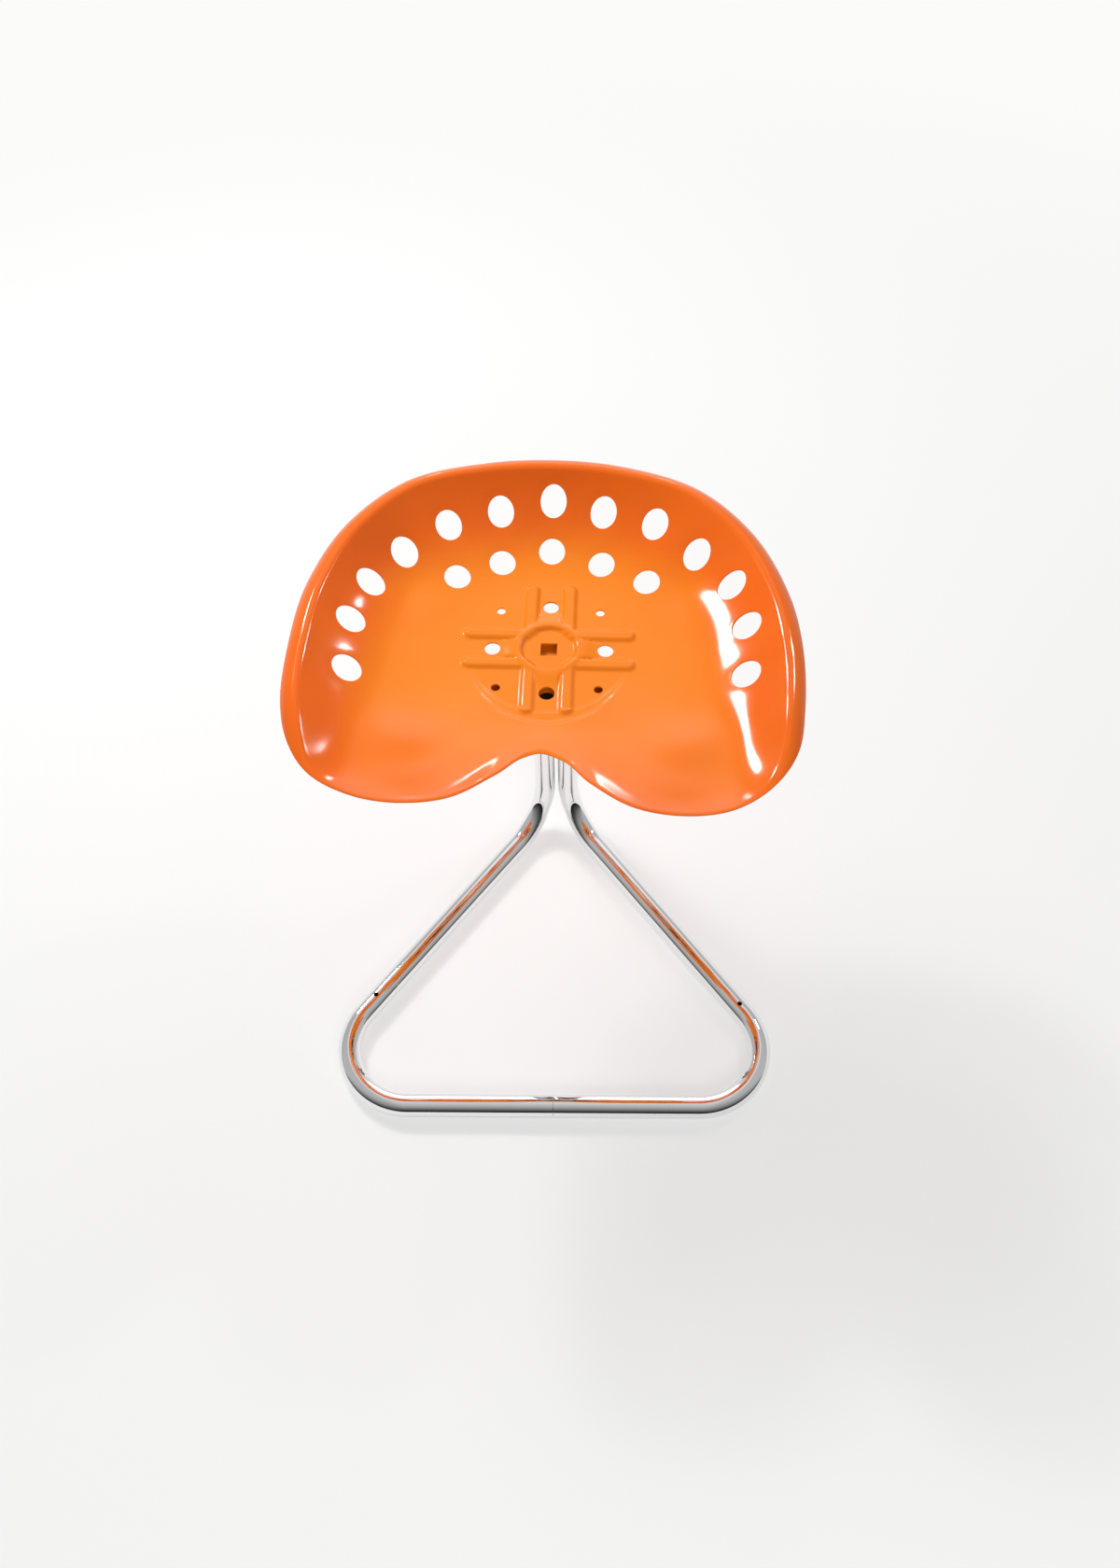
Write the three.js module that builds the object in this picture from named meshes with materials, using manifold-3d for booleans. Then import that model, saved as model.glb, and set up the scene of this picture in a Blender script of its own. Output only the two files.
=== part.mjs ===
// Tractor seat stool: a pressed steel pan on two bent chromed tubes that lie on the floor as a triangle.
// Millimetres. +Z is up, -Y is the front, where the pan has its notch, and +X is the right-hand side.
import * as THREE from 'three';
import { mergeVertices } from 'three/addons/utils/BufferGeometryUtils.js';
import Module from 'manifold-3d';

const wasm = await Module();
wasm.setup();

// Frame tubes
const tubeRadius = 12.5;
const tubeWall = 1.8;
const tubeHalfSpacing = 13.8; // from the middle plane to each column tube's centreline
const cornerBend = 69.5; // centreline radius of the two floor corners
const columnBend = 62.5; // centreline radius where a tube leaves the floor, and where it turns under the pan
const vertexHalfSpan = 294; // from the middle to where the front bar's and a leg's centrelines would cross
const legAngle = THREE.MathUtils.degToRad(53.9); // between the front bar and a leg, seen from above
const columnLean = THREE.MathUtils.degToRad(6); // the columns lean back
const seamGap = 0.6; // between the two halves of the front bar
const ventRadius = 2.6;
const leftVentReach = 21; // from a floor corner's end up the leg to the vent's centre
const rightVentReach = 10;
const runFront = 76; // how far the tubes reach in front of the hub
const tubeSides = 16;
const boreSides = 12;
const cornerSteps = 11;
const bendSteps = 8;

// Pressed pan
const hubHeight = 400; // from the floor to the hub's flat top
const runBack = 107.2; // from the hub back to where the centrelines of a column and its run would cross
const hubShift = -4; // the seat and the tubes' run under it stand this far off the middle
const hubTurn = THREE.MathUtils.degToRad(-1.4); // and are turned by this
const sheet = 2;
const panHalfWidth = 248.5;
const panBack = 218;
const panFront = 213.5;
const discRadius = 79;
const backRise = 56.5; // heights of the bowl's edge above the hub, before the lip turns over
const sideRise = 50;
const frontRise = 21;
const bowlPower = 2.04; // how the bowl steepens outwards
const stepRise = 5; // the wall in front of the hub's flat disc
const stepReach = 19;
const sideStepReach = 3;
const lipRadius = 11; // the rolled lip round the back and sides
const frontLipRadius = 25; // the soft turn-down of the front edge
const lipTurn = THREE.MathUtils.degToRad(80);
const frontLipTurn = THREE.MathUtils.degToRad(10);
const panSteps = 66;
const slopeRounds = 12; // each round brings the bowl's edge and its slope closer to agreement

// Where the pan's shape changes on its way round from the back, at 0, to the front, at a half turn
const sideAngle = THREE.MathUtils.degToRad(90);
const frontAngle = THREE.MathUtils.degToRad(165);
const lipFadeStart = THREE.MathUtils.degToRad(113);
const lipFadeEnd = THREE.MathUtils.degToRad(139);
const stepFadeStart = THREE.MathUtils.degToRad(105);

// The pan's outline from the back clockwise, as shares of its half width and of its reach back or forward
const outlineShares = [
  [0, 1], [0.299, 0.962], [0.596, 0.832], [0.815, 0.555], [0.943, 0.194], [0.984, -0.141], [0.976, -0.459],
  [0.942, -0.683], [0.855, -0.86], [0.71, -0.976], [0.522, -1], [0.332, -0.95], [0.18, -0.838],
  [0.078, -0.734], [-0.008, -0.698], [-0.076, -0.722], [-0.173, -0.808], [-0.322, -0.92], [-0.506, -0.967],
  [-0.695, -0.95], [-0.854, -0.858], [-0.947, -0.686], [-0.996, -0.468], [-1, -0.143], [-0.968, 0.2],
  [-0.845, 0.575], [-0.616, 0.86], [-0.303, 0.973],
];

// Vent holes of the pan from left to right, as the same shares
const airHoleRadius = 13.5;
const sideHoleStretchShare = 0.12; // the pressing drew the holes at the sides longer
const outerHoleShares = [
  [-0.775, -0.217], [-0.784, 0.054], [-0.728, 0.293], [-0.61, 0.496], [-0.438, 0.657], [-0.224, 0.74],
  [-0.005, 0.79], [0.205, 0.742], [0.419, 0.67], [0.59, 0.503], [0.724, 0.299], [0.776, 0.055],
  [0.767, -0.208],
];
const innerHoleShares = [[-0.391, 0.417], [-0.21, 0.512], [-0.006, 0.58], [0.201, 0.512], [0.388, 0.405]];
const bowlShares = [0.22, 0.42, 0.6, 0.76, 0.89, 1];
const lipShares = [0.28, 0.52, 0.76, 1];

// Hub of the pan
const mountHoleRadius = 7.8;
const mountHoleReach = 56;
const smallHoleRadius = 4.3;
const smallHoleReach = 50; // along X and along Y
const squareHole = 16;
const ribOffset = 19; // from an arm's middle line to each of its two ribs
const ribBase = 15.5;
const ribTop = 4.5;
const ribRise = 3.5;
const ribEnd = 83;
const frontRibEnd = 74;
const bossRadius = 34.5;
const bossCrestOuter = 30;
const bossCrestInner = 28;
const bossFloorRadius = 24.5;
const bossRise = 3.8;

// Carrier, pad, clamps and fasteners under the hub
const carrierDepth = 8; // the carrier is a shallow tray
const trayFloor = 2.5;
const trayWall = 4;
const padThickness = 3;
const carrierHalfWidth = 62;
const carrierFront = 72;
const carrierWaist = 24; // where the wide front part ends, in front of the hub
const carrierBack = 26;
const carrierCorner = 6;
const clampPlate = 3;
const clampSlack = 3; // the gap that the bolts pull against
const frontClampLength = 40;
const frontClampMiddle = -46; // from the hub
const rearClampLength = 30;
const rearClampMiddle = 9;
const clampChamfer = 5;
const boltRadius = 3;
const boltHeadRadius = 5.77;
const boltHeadHeight = 4;
const boltTip = 3; // how far a bolt stands out of the tray's floor
const washerRadius = 6;
const washerThickness = 1.6;
const springWasherRadius = 5.5;
const springWasherThickness = 1.5;
const springWasherSplit = 1;
const boltEdge = 8; // from a bolt's axis to the edge of the plate beside it
const plugHead = 3;
const plugShank = 14;
const sleeveLength = 90;
const sleeveWall = 1.5;

// Fits
const fit = 0.3;
const boltClearance = 0.4;
const stack = 0.1; // between washers, heads and plates
const overrun = 1; // how far a cutter reaches past what it cuts

// Places worked out from the sizes above
const tubeCorner = tubeRadius / Math.cos(Math.PI / tubeSides);
const boreRadius = tubeRadius - tubeWall;
const boreFlat = boreRadius * Math.cos(Math.PI / boreSides);
const carrierTop = hubHeight - sheet - fit;
const carrierUnder = carrierTop - carrierDepth;
const padTop = carrierUnder - fit;
const padUnder = padTop - padThickness;
const runHeight = padUnder - fit - tubeCorner;
const legReach = (vertexHalfSpan - tubeHalfSpacing) * Math.tan(legAngle);
const columnTop = legReach + (runHeight - tubeRadius) * Math.tan(columnLean);
const hubBehindBar = columnTop - runBack;
const clampInner = tubeHalfSpacing + tubeCorner + fit;
const clampOuter = clampInner + clampPlate;
const boltReach = clampOuter + washerRadius + fit;
const tongueHalfWidth = boltReach + boltEdge;
const flangeTop = padUnder - clampSlack;
const flangeUnder = flangeTop - clampPlate;

// Materials
const enamel = new THREE.MeshStandardMaterial({ color: 0xf0701f, roughness: 0.18, metalness: 0 });
const chrome = new THREE.MeshStandardMaterial({ color: 0xd9dbdd, roughness: 0.06, metalness: 1 });
const zinc = new THREE.MeshStandardMaterial({ color: 0xaeb0ae, roughness: 0.35, metalness: 1 });
const blackSteel = new THREE.MeshStandardMaterial({ color: 0x1b1b1c, roughness: 0.45, metalness: 0.2 });
const plastic = new THREE.MeshStandardMaterial({ color: 0x141415, roughness: 0.55, metalness: 0 });
const rubber = new THREE.MeshStandardMaterial({ color: 0x0d0d0d, roughness: 0.8, metalness: 0 });

const group = new THREE.Group();

function addPiece(name, geometry, material, parent = group) {
  const mesh = new THREE.Mesh(geometry, material.clone());
  mesh.name = name;
  parent.add(mesh);
  return mesh;
}

// A closed geometry as a solid that can be joined and cut
function solidOf(geometry) {
  const bare = geometry.clone();
  bare.deleteAttribute('normal');
  bare.deleteAttribute('uv');
  const merged = mergeVertices(bare);
  return new wasm.Manifold(new wasm.Mesh({
    numProp: 3,
    vertProperties: Float32Array.from(merged.attributes.position.array),
    triVerts: Uint32Array.from(merged.index.array),
  }));
}

function geometryOf(solid) {
  const mesh = solid.getMesh();
  const geometry = new THREE.BufferGeometry();
  geometry.setAttribute('position', new THREE.BufferAttribute(mesh.vertProperties, mesh.numProp));
  geometry.setIndex(new THREE.BufferAttribute(mesh.triVerts, 1));
  geometry.computeVertexNormals();
  return geometry;
}

function mix(from, to, share) {
  return from + (to - from) * share;
}

// Runs smoothly from 0 to 1 while the value goes from start to end
function ease(value, start, end) {
  return THREE.MathUtils.smoothstep(value, start, end);
}

// A regular polygon's corners round the origin
function ringPoints(radius, sides, turn = 0) {
  return Array.from({ length: sides }, (_, i) => {
    const angle = turn + i * 2 * Math.PI / sides;
    return new THREE.Vector2(radius * Math.cos(angle), radius * Math.sin(angle));
  });
}

// A flat plate or bar: an outline in X and Y, raised from one height to another
function raised(points, low, high, holes = []) {
  const shape = new THREE.Shape(points);
  shape.holes = holes.map((hole) => new THREE.Path(hole));
  const geometry = new THREE.ExtrudeGeometry(shape, { depth: high - low, bevelEnabled: false, steps: 1 });
  return geometry.translate(0, 0, low);
}

// An upright round or many-sided bar
function upright(radius, low, high, sides, x = 0, y = 0) {
  return raised(ringPoints(radius, sides, Math.PI / sides), low, high).translate(x, y, 0);
}

// The route of a bent tube, with its stations only where the tube bends, starts or ends
class TubeRoute extends THREE.Curve {
  constructor(stations) {
    super();
    this.stations = stations;
  }

  get steps() {
    return this.stations.length - 1;
  }

  getPointAt(share, target = new THREE.Vector3()) {
    return target.copy(this.stations[Math.round(share * this.steps)].point);
  }

  getTangentAt(share, target = new THREE.Vector3()) {
    return target.copy(this.stations[Math.round(share * this.steps)].tangent);
  }
}

// Stations of a polyline whose inner corners are rounded by arcs
function bentStations(corners, radii, steps) {
  const stations = [];
  const along = (from, to) => new THREE.Vector3().subVectors(to, from).normalize();
  const last = corners.length - 1;
  stations.push({ point: corners[0].clone(), tangent: along(corners[0], corners[1]) });
  for (let i = 1; i < last; i += 1) {
    const incoming = along(corners[i - 1], corners[i]);
    const outgoing = along(corners[i], corners[i + 1]);
    const turn = incoming.angleTo(outgoing);
    const inward = outgoing.clone().addScaledVector(incoming, -incoming.dot(outgoing)).normalize();
    const start = corners[i].clone().addScaledVector(incoming, -radii[i - 1] * Math.tan(turn / 2));
    const centre = start.clone().addScaledVector(inward, radii[i - 1]);
    for (let step = 0; step <= steps[i - 1]; step += 1) {
      const angle = turn * step / steps[i - 1];
      stations.push({
        point: centre.clone()
          .addScaledVector(inward, -radii[i - 1] * Math.cos(angle))
          .addScaledVector(incoming, radii[i - 1] * Math.sin(angle)),
        tangent: incoming.clone().multiplyScalar(Math.cos(angle))
          .addScaledVector(inward, Math.sin(angle)),
      });
    }
  }
  stations.push({ point: corners[last].clone(), tangent: along(corners[last - 1], corners[last]) });
  return stations;
}

// Where a point measured from the hub lies, seen from above
function fromHub(u, v) {
  return new THREE.Vector2(u, v).rotateAround(new THREE.Vector2(), hubTurn)
    .add(new THREE.Vector2(hubShift, hubBehindBar));
}

// Centreline of one half of the frame: front bar, floor corner, leg, column, and the run under the hub
function frameStations(side) {
  const bendPlace = fromHub(side * tubeHalfSpacing, runBack);
  const endPlace = fromHub(side * tubeHalfSpacing, -runFront);
  const corners = [
    new THREE.Vector3(side * seamGap / 2, 0, tubeRadius),
    new THREE.Vector3(side * vertexHalfSpan, 0, tubeRadius),
    new THREE.Vector3(side * tubeHalfSpacing, legReach, tubeRadius),
    new THREE.Vector3(bendPlace.x, bendPlace.y, runHeight),
    new THREE.Vector3(endPlace.x, endPlace.y, runHeight),
  ];
  return bentStations(corners, [cornerBend, columnBend, columnBend], [cornerSteps, bendSteps, bendSteps]);
}

function frameTube(side, ventReach) {
  const route = new TubeRoute(frameStations(side));
  const section = new THREE.Shape(ringPoints(tubeCorner, tubeSides, Math.PI / tubeSides));
  section.holes = [new THREE.Path(ringPoints(boreRadius, boreSides))];
  const tube = new THREE.ExtrudeGeometry(section, {
    steps: route.steps,
    bevelEnabled: false,
    extrudePath: route,
  });
  const cornerEnd = route.stations[cornerSteps + 1];
  const vent = cornerEnd.point.clone().addScaledVector(cornerEnd.tangent, ventReach);
  const drill = upright(ventRadius, tubeRadius, tubeRadius + tubeCorner + overrun, boreSides, vent.x, vent.y);
  return geometryOf(solidOf(tube).subtract(solidOf(drill)));
}

// A place on the pan given as shares, seen from above
function panPlace([u, v]) {
  return new THREE.Vector2(u * panHalfWidth, v * (v > 0 ? panBack : panFront));
}

// The pan's outline as a closed curve through its shares, seen from above
function panOutline() {
  const points = outlineShares.map(panPlace).map(({ x, y }) => new THREE.Vector3(x, y, 0));
  return new THREE.CatmullRomCurve3(points, true, 'centripetal');
}

// The pan's section from the hub's disc out to one point of its outline: reach, height and slope
function panSection(outlinePoint) {
  const reach = Math.hypot(outlinePoint.x, outlinePoint.y);
  const angle = Math.abs(Math.atan2(outlinePoint.x, outlinePoint.y));
  const fade = ease(angle, lipFadeStart, lipFadeEnd);
  const radius = mix(lipRadius, frontLipRadius, fade);
  const turn = mix(lipTurn, frontLipTurn, fade);
  const step = stepRise * ease(angle, stepFadeStart, Math.PI);
  const foot = discRadius + mix(sideStepReach, stepReach, ease(angle, stepFadeStart, Math.PI));
  const back = mix(backRise, sideRise, ease(angle, 0, sideAngle));
  const rise = mix(back, frontRise, ease(angle, sideAngle, frontAngle)) - step;
  let slope = 0;
  let edge = reach;
  for (let round = 0; round < slopeRounds; round += 1) {
    edge = reach - radius * (Math.sin(slope) + Math.sin(turn));
    slope = Math.atan(bowlPower * rise / (edge - foot));
  }
  const points = [
    { reach: discRadius, height: 0, slope: 0 },
    { reach: foot, height: step, slope: 0 },
  ];
  for (const share of bowlShares) {
    points.push({
      reach: mix(foot, edge, share),
      height: step + rise * share ** bowlPower,
      slope: Math.atan(Math.tan(slope) * share ** (bowlPower - 1)),
    });
  }
  for (const share of lipShares) {
    const here = mix(slope, -turn, share);
    points.push({
      reach: edge + radius * (Math.sin(slope) - Math.sin(here)),
      height: step + rise + radius * (Math.cos(here) - Math.cos(slope)),
      slope: here,
    });
  }
  return { angle: Math.atan2(outlinePoint.x, outlinePoint.y), points };
}

// The bowl with its lip, as one closed sheet: rings of points above, the same rings below
function panShell() {
  const outline = panOutline().getSpacedPoints(panSteps).slice(0, panSteps);
  const sections = outline.map(panSection);
  const rings = sections[0].points.length;
  const positions = [0, 0, 0, 0, 0, -sheet];
  for (const depth of [0, sheet]) {
    for (const { angle, points } of sections) {
      for (const { reach, height, slope } of points) {
        const out = reach + depth * Math.sin(slope);
        positions.push(out * Math.sin(angle), out * Math.cos(angle), height - depth * Math.cos(slope));
      }
    }
  }
  const at = (side, section, ring) => 2 + (side * panSteps + section % panSteps) * rings + ring;
  const index = [];
  for (let i = 0; i < panSteps; i += 1) {
    index.push(0, at(0, i + 1, 0), at(0, i, 0));
    index.push(1, at(1, i, 0), at(1, i + 1, 0));
    for (let ring = 0; ring < rings - 1; ring += 1) {
      const top = [at(0, i, ring), at(0, i + 1, ring), at(0, i + 1, ring + 1), at(0, i, ring + 1)];
      const under = [at(1, i, ring), at(1, i, ring + 1), at(1, i + 1, ring + 1), at(1, i + 1, ring)];
      for (const [a, b, c, d] of [top, under]) {
        index.push(a, b, c, a, c, d);
      }
    }
    const [a, b] = [at(0, i, rings - 1), at(0, i + 1, rings - 1)];
    const [c, d] = [at(1, i + 1, rings - 1), at(1, i, rings - 1)];
    index.push(a, b, c, a, c, d);
  }
  const geometry = new THREE.BufferGeometry();
  geometry.setAttribute('position', new THREE.Float32BufferAttribute(positions, 3));
  geometry.setIndex(index);
  return geometry;
}

// One pressed rib beside an arm's middle line, along +X, with sloping flanks and a sloping outer end
function rib(offset, end, sink) {
  const inner = bossCrestOuter;
  const flank = (ribBase - ribTop) / 2;
  const section = (share) => [
    new THREE.Vector2(-ribBase / 2 + flank * share, 0),
    new THREE.Vector2(ribBase / 2 - flank * share, 0),
  ];
  const [low0, low1] = section(0);
  const [high0, high1] = section(1);
  const outline = [
    new THREE.Vector2(low0.x, -sheet / 2),
    new THREE.Vector2(low1.x, -sheet / 2),
    low1,
    new THREE.Vector2(high1.x, ribRise),
    new THREE.Vector2(high0.x, ribRise),
    low0,
  ];
  const bar = new THREE.ExtrudeGeometry(new THREE.Shape(outline), {
    depth: end - inner,
    bevelEnabled: false,
    steps: 1,
  });
  bar.rotateX(Math.PI / 2).rotateZ(Math.PI / 2);
  return bar.translate(inner, offset, -sink);
}

// The round boss: a pressed ring with the hub's floor inside it
function bossRing(sink) {
  const profile = [
    [bossFloorRadius, -sheet / 2], [bossRadius, -sheet / 2], [bossRadius, 0],
    [bossCrestOuter, bossRise], [bossCrestInner, bossRise], [bossFloorRadius, 0],
    [bossFloorRadius, -sheet / 2],
  ].map(([radius, height]) => new THREE.Vector2(radius, height));
  const ring = new THREE.LatheGeometry(profile, 2 * tubeSides);
  return ring.rotateX(Math.PI / 2).translate(0, 0, -sink);
}

// All the ribs and the boss together, raised from the disc or sunk below it by the sheet's thickness
function pressing(sink) {
  let solid = solidOf(bossRing(sink));
  for (const [arm, end] of [ribEnd, ribEnd, ribEnd, frontRibEnd].entries()) {
    for (const offset of [-ribOffset, ribOffset]) {
      solid = solid.add(solidOf(rib(offset, end, sink).rotateZ(arm * Math.PI / 2)));
    }
  }
  return solid;
}

// Cutters of every hole in the pan
function panCutters() {
  const low = -2 * sheet;
  const high = backRise + lipRadius;
  const cutters = [];
  for (const { x, y } of [...outerHoleShares, ...innerHoleShares].map(panPlace)) {
    const reach = Math.hypot(x, y);
    const stretch = 1 + sideHoleStretchShare * ease(reach, discRadius, panBack) * (x / reach) ** 2;
    cutters.push(upright(airHoleRadius, low, high, tubeSides).scale(1, stretch, 1).translate(x, y, 0));
  }
  for (let arm = 0; arm < 4; arm += 1) {
    const mountHole = upright(mountHoleRadius, low, ribRise + sheet, tubeSides, mountHoleReach, 0);
    const corner = smallHoleReach;
    const smallHole = upright(smallHoleRadius, low, ribRise + sheet, boreSides, corner, corner);
    cutters.push(mountHole.rotateZ(arm * Math.PI / 2), smallHole.rotateZ(arm * Math.PI / 2));
  }
  cutters.push(upright(squareHole / Math.SQRT2, low, ribRise, 4));
  return cutters.map(solidOf);
}

function seatPan() {
  let pan = solidOf(panShell()).subtract(pressing(sheet)).add(pressing(0));
  for (const cutter of panCutters()) {
    pan = pan.subtract(cutter);
  }
  return geometryOf(pan);
}

// A rectangle's corners with small chamfers, from its low corner to its high corner
function plateCorners(left, right, front, back, chamfer) {
  return [
    [left + chamfer, front], [right - chamfer, front], [right, front + chamfer], [right, back - chamfer],
    [right - chamfer, back], [left + chamfer, back], [left, back - chamfer], [left, front + chamfer],
  ];
}

const boltPlaces = [];
for (const [clamp, middle] of [['front', frontClampMiddle], ['rear', rearClampMiddle]]) {
  for (const [side, sign] of [['left', -1], ['right', 1]]) {
    boltPlaces.push({ name: `${clamp}_${side}`, x: sign * boltReach, y: middle });
  }
}

// The T-shaped outline shared by the carrier and the pad below it, as a plate between two heights
function hubPlate(low, high, inset, holes) {
  const front = inset - carrierFront;
  const plates = [
    [carrierHalfWidth - inset, -carrierWaist - inset],
    [tongueHalfWidth - inset, carrierBack - inset],
  ];
  const [wide, tongue] = plates.map(([side, back]) => solidOf(raised(
    plateCorners(-side, side, front, back, carrierCorner).map(([x, y]) => new THREE.Vector2(x, y)),
    low,
    high,
  )));
  let plate = wide.add(tongue);
  for (const { x, y, radius } of holes) {
    plate = plate.subtract(solidOf(upright(radius, low - overrun, high + overrun, tubeSides, x, y)));
  }
  return plate;
}

// The steel tray welded under the hub by its rim, with holes in its floor for the clamp bolts and under
// the pan's front mount hole
function seatCarrier() {
  const plate = hubPlate(carrierUnder, carrierTop, 0, [
    ...boltPlaces.map(({ x, y }) => ({ x, y, radius: boltRadius + boltClearance / 2 })),
    { x: 0, y: -mountHoleReach, radius: mountHoleRadius + overrun },
  ]);
  return geometryOf(plate.subtract(hubPlate(carrierUnder + trayFloor, carrierTop + overrun, trayWall, [])));
}

// The pad that keeps the plate off the chromed tubes
function saddlePad() {
  const radius = boltRadius + boltClearance;
  return geometryOf(hubPlate(padUnder, padTop, 0, boltPlaces.map(({ x, y }) => ({ x, y, radius }))));
}

// A hat-shaped clamp that lifts both tubes against the pad
function tubeClamp(halfWidth, length, middle) {
  const floorInner = runHeight - tubeCorner - fit;
  const floorUnder = floorInner - clampPlate;
  const half = [
    [clampOuter - clampChamfer, floorUnder], [clampOuter, floorUnder + clampChamfer],
    [clampOuter, flangeUnder], [halfWidth, flangeUnder], [halfWidth, flangeTop],
    [clampInner, flangeTop], [clampInner, floorInner + clampChamfer],
    [clampInner - clampChamfer, floorInner],
  ];
  const outline = [...half, ...half.map(([x, z]) => [-x, z]).reverse()]
    .map(([x, z]) => new THREE.Vector2(x, z));
  const geometry = new THREE.ExtrudeGeometry(new THREE.Shape(outline), {
    depth: length,
    bevelEnabled: false,
    steps: 1,
  });
  geometry.rotateX(Math.PI / 2).translate(0, middle + length / 2, 0);
  let clamp = solidOf(geometry);
  for (const side of [-1, 1]) {
    clamp = clamp.subtract(solidOf(upright(
      boltRadius + boltClearance,
      flangeUnder - overrun,
      flangeTop + overrun,
      boreSides,
      side * boltReach,
      middle,
    )));
  }
  return geometryOf(clamp);
}

// Clamp bolts stand head down, each with a flat washer against the flange and a split spring washer
const washerUnder = flangeUnder - stack - washerThickness;
const springUnder = washerUnder - stack - springWasherThickness;
const headTop = springUnder - stack;

function clampBolt({ x, y }) {
  const head = solidOf(upright(boltHeadRadius, headTop - boltHeadHeight, headTop, 6, x, y));
  const end = carrierUnder + trayFloor + boltTip;
  const shank = solidOf(upright(boltRadius, headTop - overrun, end, boreSides, x, y));
  return geometryOf(head.add(shank));
}

function flatWasher({ x, y }) {
  const bore = ringPoints(boltRadius + boltClearance, boreSides);
  return raised(ringPoints(washerRadius, tubeSides), washerUnder, washerUnder + washerThickness, [bore])
    .translate(x, y, 0);
}

function springWasher({ x, y }) {
  const bore = ringPoints(boltRadius + boltClearance, boreSides);
  const high = springUnder + springWasherThickness;
  const ring = solidOf(raised(ringPoints(springWasherRadius, tubeSides), springUnder, high, [bore]));
  const depth = springWasherThickness + overrun;
  const split = new THREE.BoxGeometry(springWasherRadius * 2, springWasherSplit, depth);
  split.rotateZ(Math.PI / boreSides).translate(springWasherRadius, 0, 0);
  split.translate(0, 0, springUnder + springWasherThickness / 2);
  return geometryOf(ring.subtract(solidOf(split))).translate(x, y, 0);
}

// A push-in plug for a tube's open end under the hub
function tubePlug(side) {
  const shank = boreFlat - fit;
  const profile = [
    [0, -plugHead], [tubeRadius - plugHead / 2, -plugHead], [tubeRadius, -plugHead / 2], [tubeRadius, 0],
    [shank, 0], [shank, plugShank], [shank - plugHead / 2, plugShank], [0, plugShank],
  ].map(([radius, height]) => new THREE.Vector2(radius, height));
  const plug = new THREE.LatheGeometry(profile, tubeSides);
  return plug.translate(side * tubeHalfSpacing, -runFront - stack, runHeight);
}

// The sleeve inside the front bar that joins its two halves
function jointSleeve() {
  const outer = ringPoints(boreFlat - fit, boreSides);
  const inner = ringPoints(boreFlat - fit - sleeveWall, boreSides);
  return raised(outer, -sleeveLength / 2, sleeveLength / 2, [inner])
    .rotateY(Math.PI / 2).translate(0, 0, tubeRadius);
}

addPiece('frame_tube_left', frameTube(-1, leftVentReach), chrome);
addPiece('frame_tube_right', frameTube(1, rightVentReach), chrome);
addPiece('joint_sleeve', jointSleeve(), zinc);

// All that is measured from the hub: the pan's heights are from the hub's top, the rest from the floor
const hub = new THREE.Group();
hub.position.set(hubShift, hubBehindBar, 0);
hub.rotation.z = hubTurn;
group.add(hub);
addPiece('seat_pan', seatPan(), enamel, hub).position.z = hubHeight;
addPiece('seat_carrier', seatCarrier(), enamel, hub);
addPiece('saddle_pad', saddlePad(), rubber, hub);
const frontClamp = tubeClamp(carrierHalfWidth, frontClampLength, frontClampMiddle);
const rearClamp = tubeClamp(tongueHalfWidth, rearClampLength, rearClampMiddle);
addPiece('front_tube_clamp', frontClamp, blackSteel, hub);
addPiece('rear_tube_clamp', rearClamp, blackSteel, hub);
addPiece('tube_plug_left', tubePlug(-1), plastic, hub);
addPiece('tube_plug_right', tubePlug(1), plastic, hub);
for (const place of boltPlaces) {
  addPiece(`clamp_bolt_${place.name}`, clampBolt(place), zinc, hub);
  addPiece(`flat_washer_${place.name}`, flatWasher(place), zinc, hub);
  addPiece(`spring_washer_${place.name}`, springWasher(place), zinc, hub);
}

// The origin is the middle of the footprint, on the floor
group.updateMatrixWorld(true);
const footprint = new THREE.Box3().setFromObject(group, true);
const middle = footprint.getCenter(new THREE.Vector3());
group.position.set(-middle.x, -middle.y, -footprint.min.z);

export default group;
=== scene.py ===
"""Looks of the tractor seat stool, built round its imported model.

Metres, in the frame's own axes: +Z is up, -Y is the front, where the pan has its notch, and +X is the
right-hand side. Places on the pan and under it are measured from its hub, as on a drawing.
"""

import logging
import math
from collections.abc import Callable, Iterable, Sequence
from dataclasses import dataclass, field
from enum import Enum

import bmesh
import bpy
import numpy as np
from mathutils import Matrix, Vector
from mathutils.geometry import delaunay_2d_cdt


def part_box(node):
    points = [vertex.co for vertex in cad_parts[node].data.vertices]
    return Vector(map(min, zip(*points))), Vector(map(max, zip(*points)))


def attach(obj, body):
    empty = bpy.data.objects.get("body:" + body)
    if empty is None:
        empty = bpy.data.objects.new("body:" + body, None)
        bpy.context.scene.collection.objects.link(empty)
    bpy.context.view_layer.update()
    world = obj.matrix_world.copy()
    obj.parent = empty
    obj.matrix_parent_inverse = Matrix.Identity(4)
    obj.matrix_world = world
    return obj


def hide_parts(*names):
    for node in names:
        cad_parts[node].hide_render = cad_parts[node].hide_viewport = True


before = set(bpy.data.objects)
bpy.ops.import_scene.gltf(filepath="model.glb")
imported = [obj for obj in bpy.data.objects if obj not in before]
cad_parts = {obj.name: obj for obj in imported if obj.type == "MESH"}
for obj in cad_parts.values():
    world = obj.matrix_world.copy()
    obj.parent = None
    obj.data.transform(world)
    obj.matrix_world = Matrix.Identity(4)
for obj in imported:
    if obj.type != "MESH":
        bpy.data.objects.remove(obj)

LOG = logging.getLogger("stool")
MM = 0.001
BODY = "root"

Array = np.ndarray
Curve = Callable[[Array], Array]


def smooth(value: Array | float, start: float, end: float) -> Array:
    """Runs smoothly from 0 to 1 while the value goes from start to end."""
    share = np.clip((value - start) / (end - start), 0, 1)
    return share * share * (3 - 2 * share)


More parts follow.
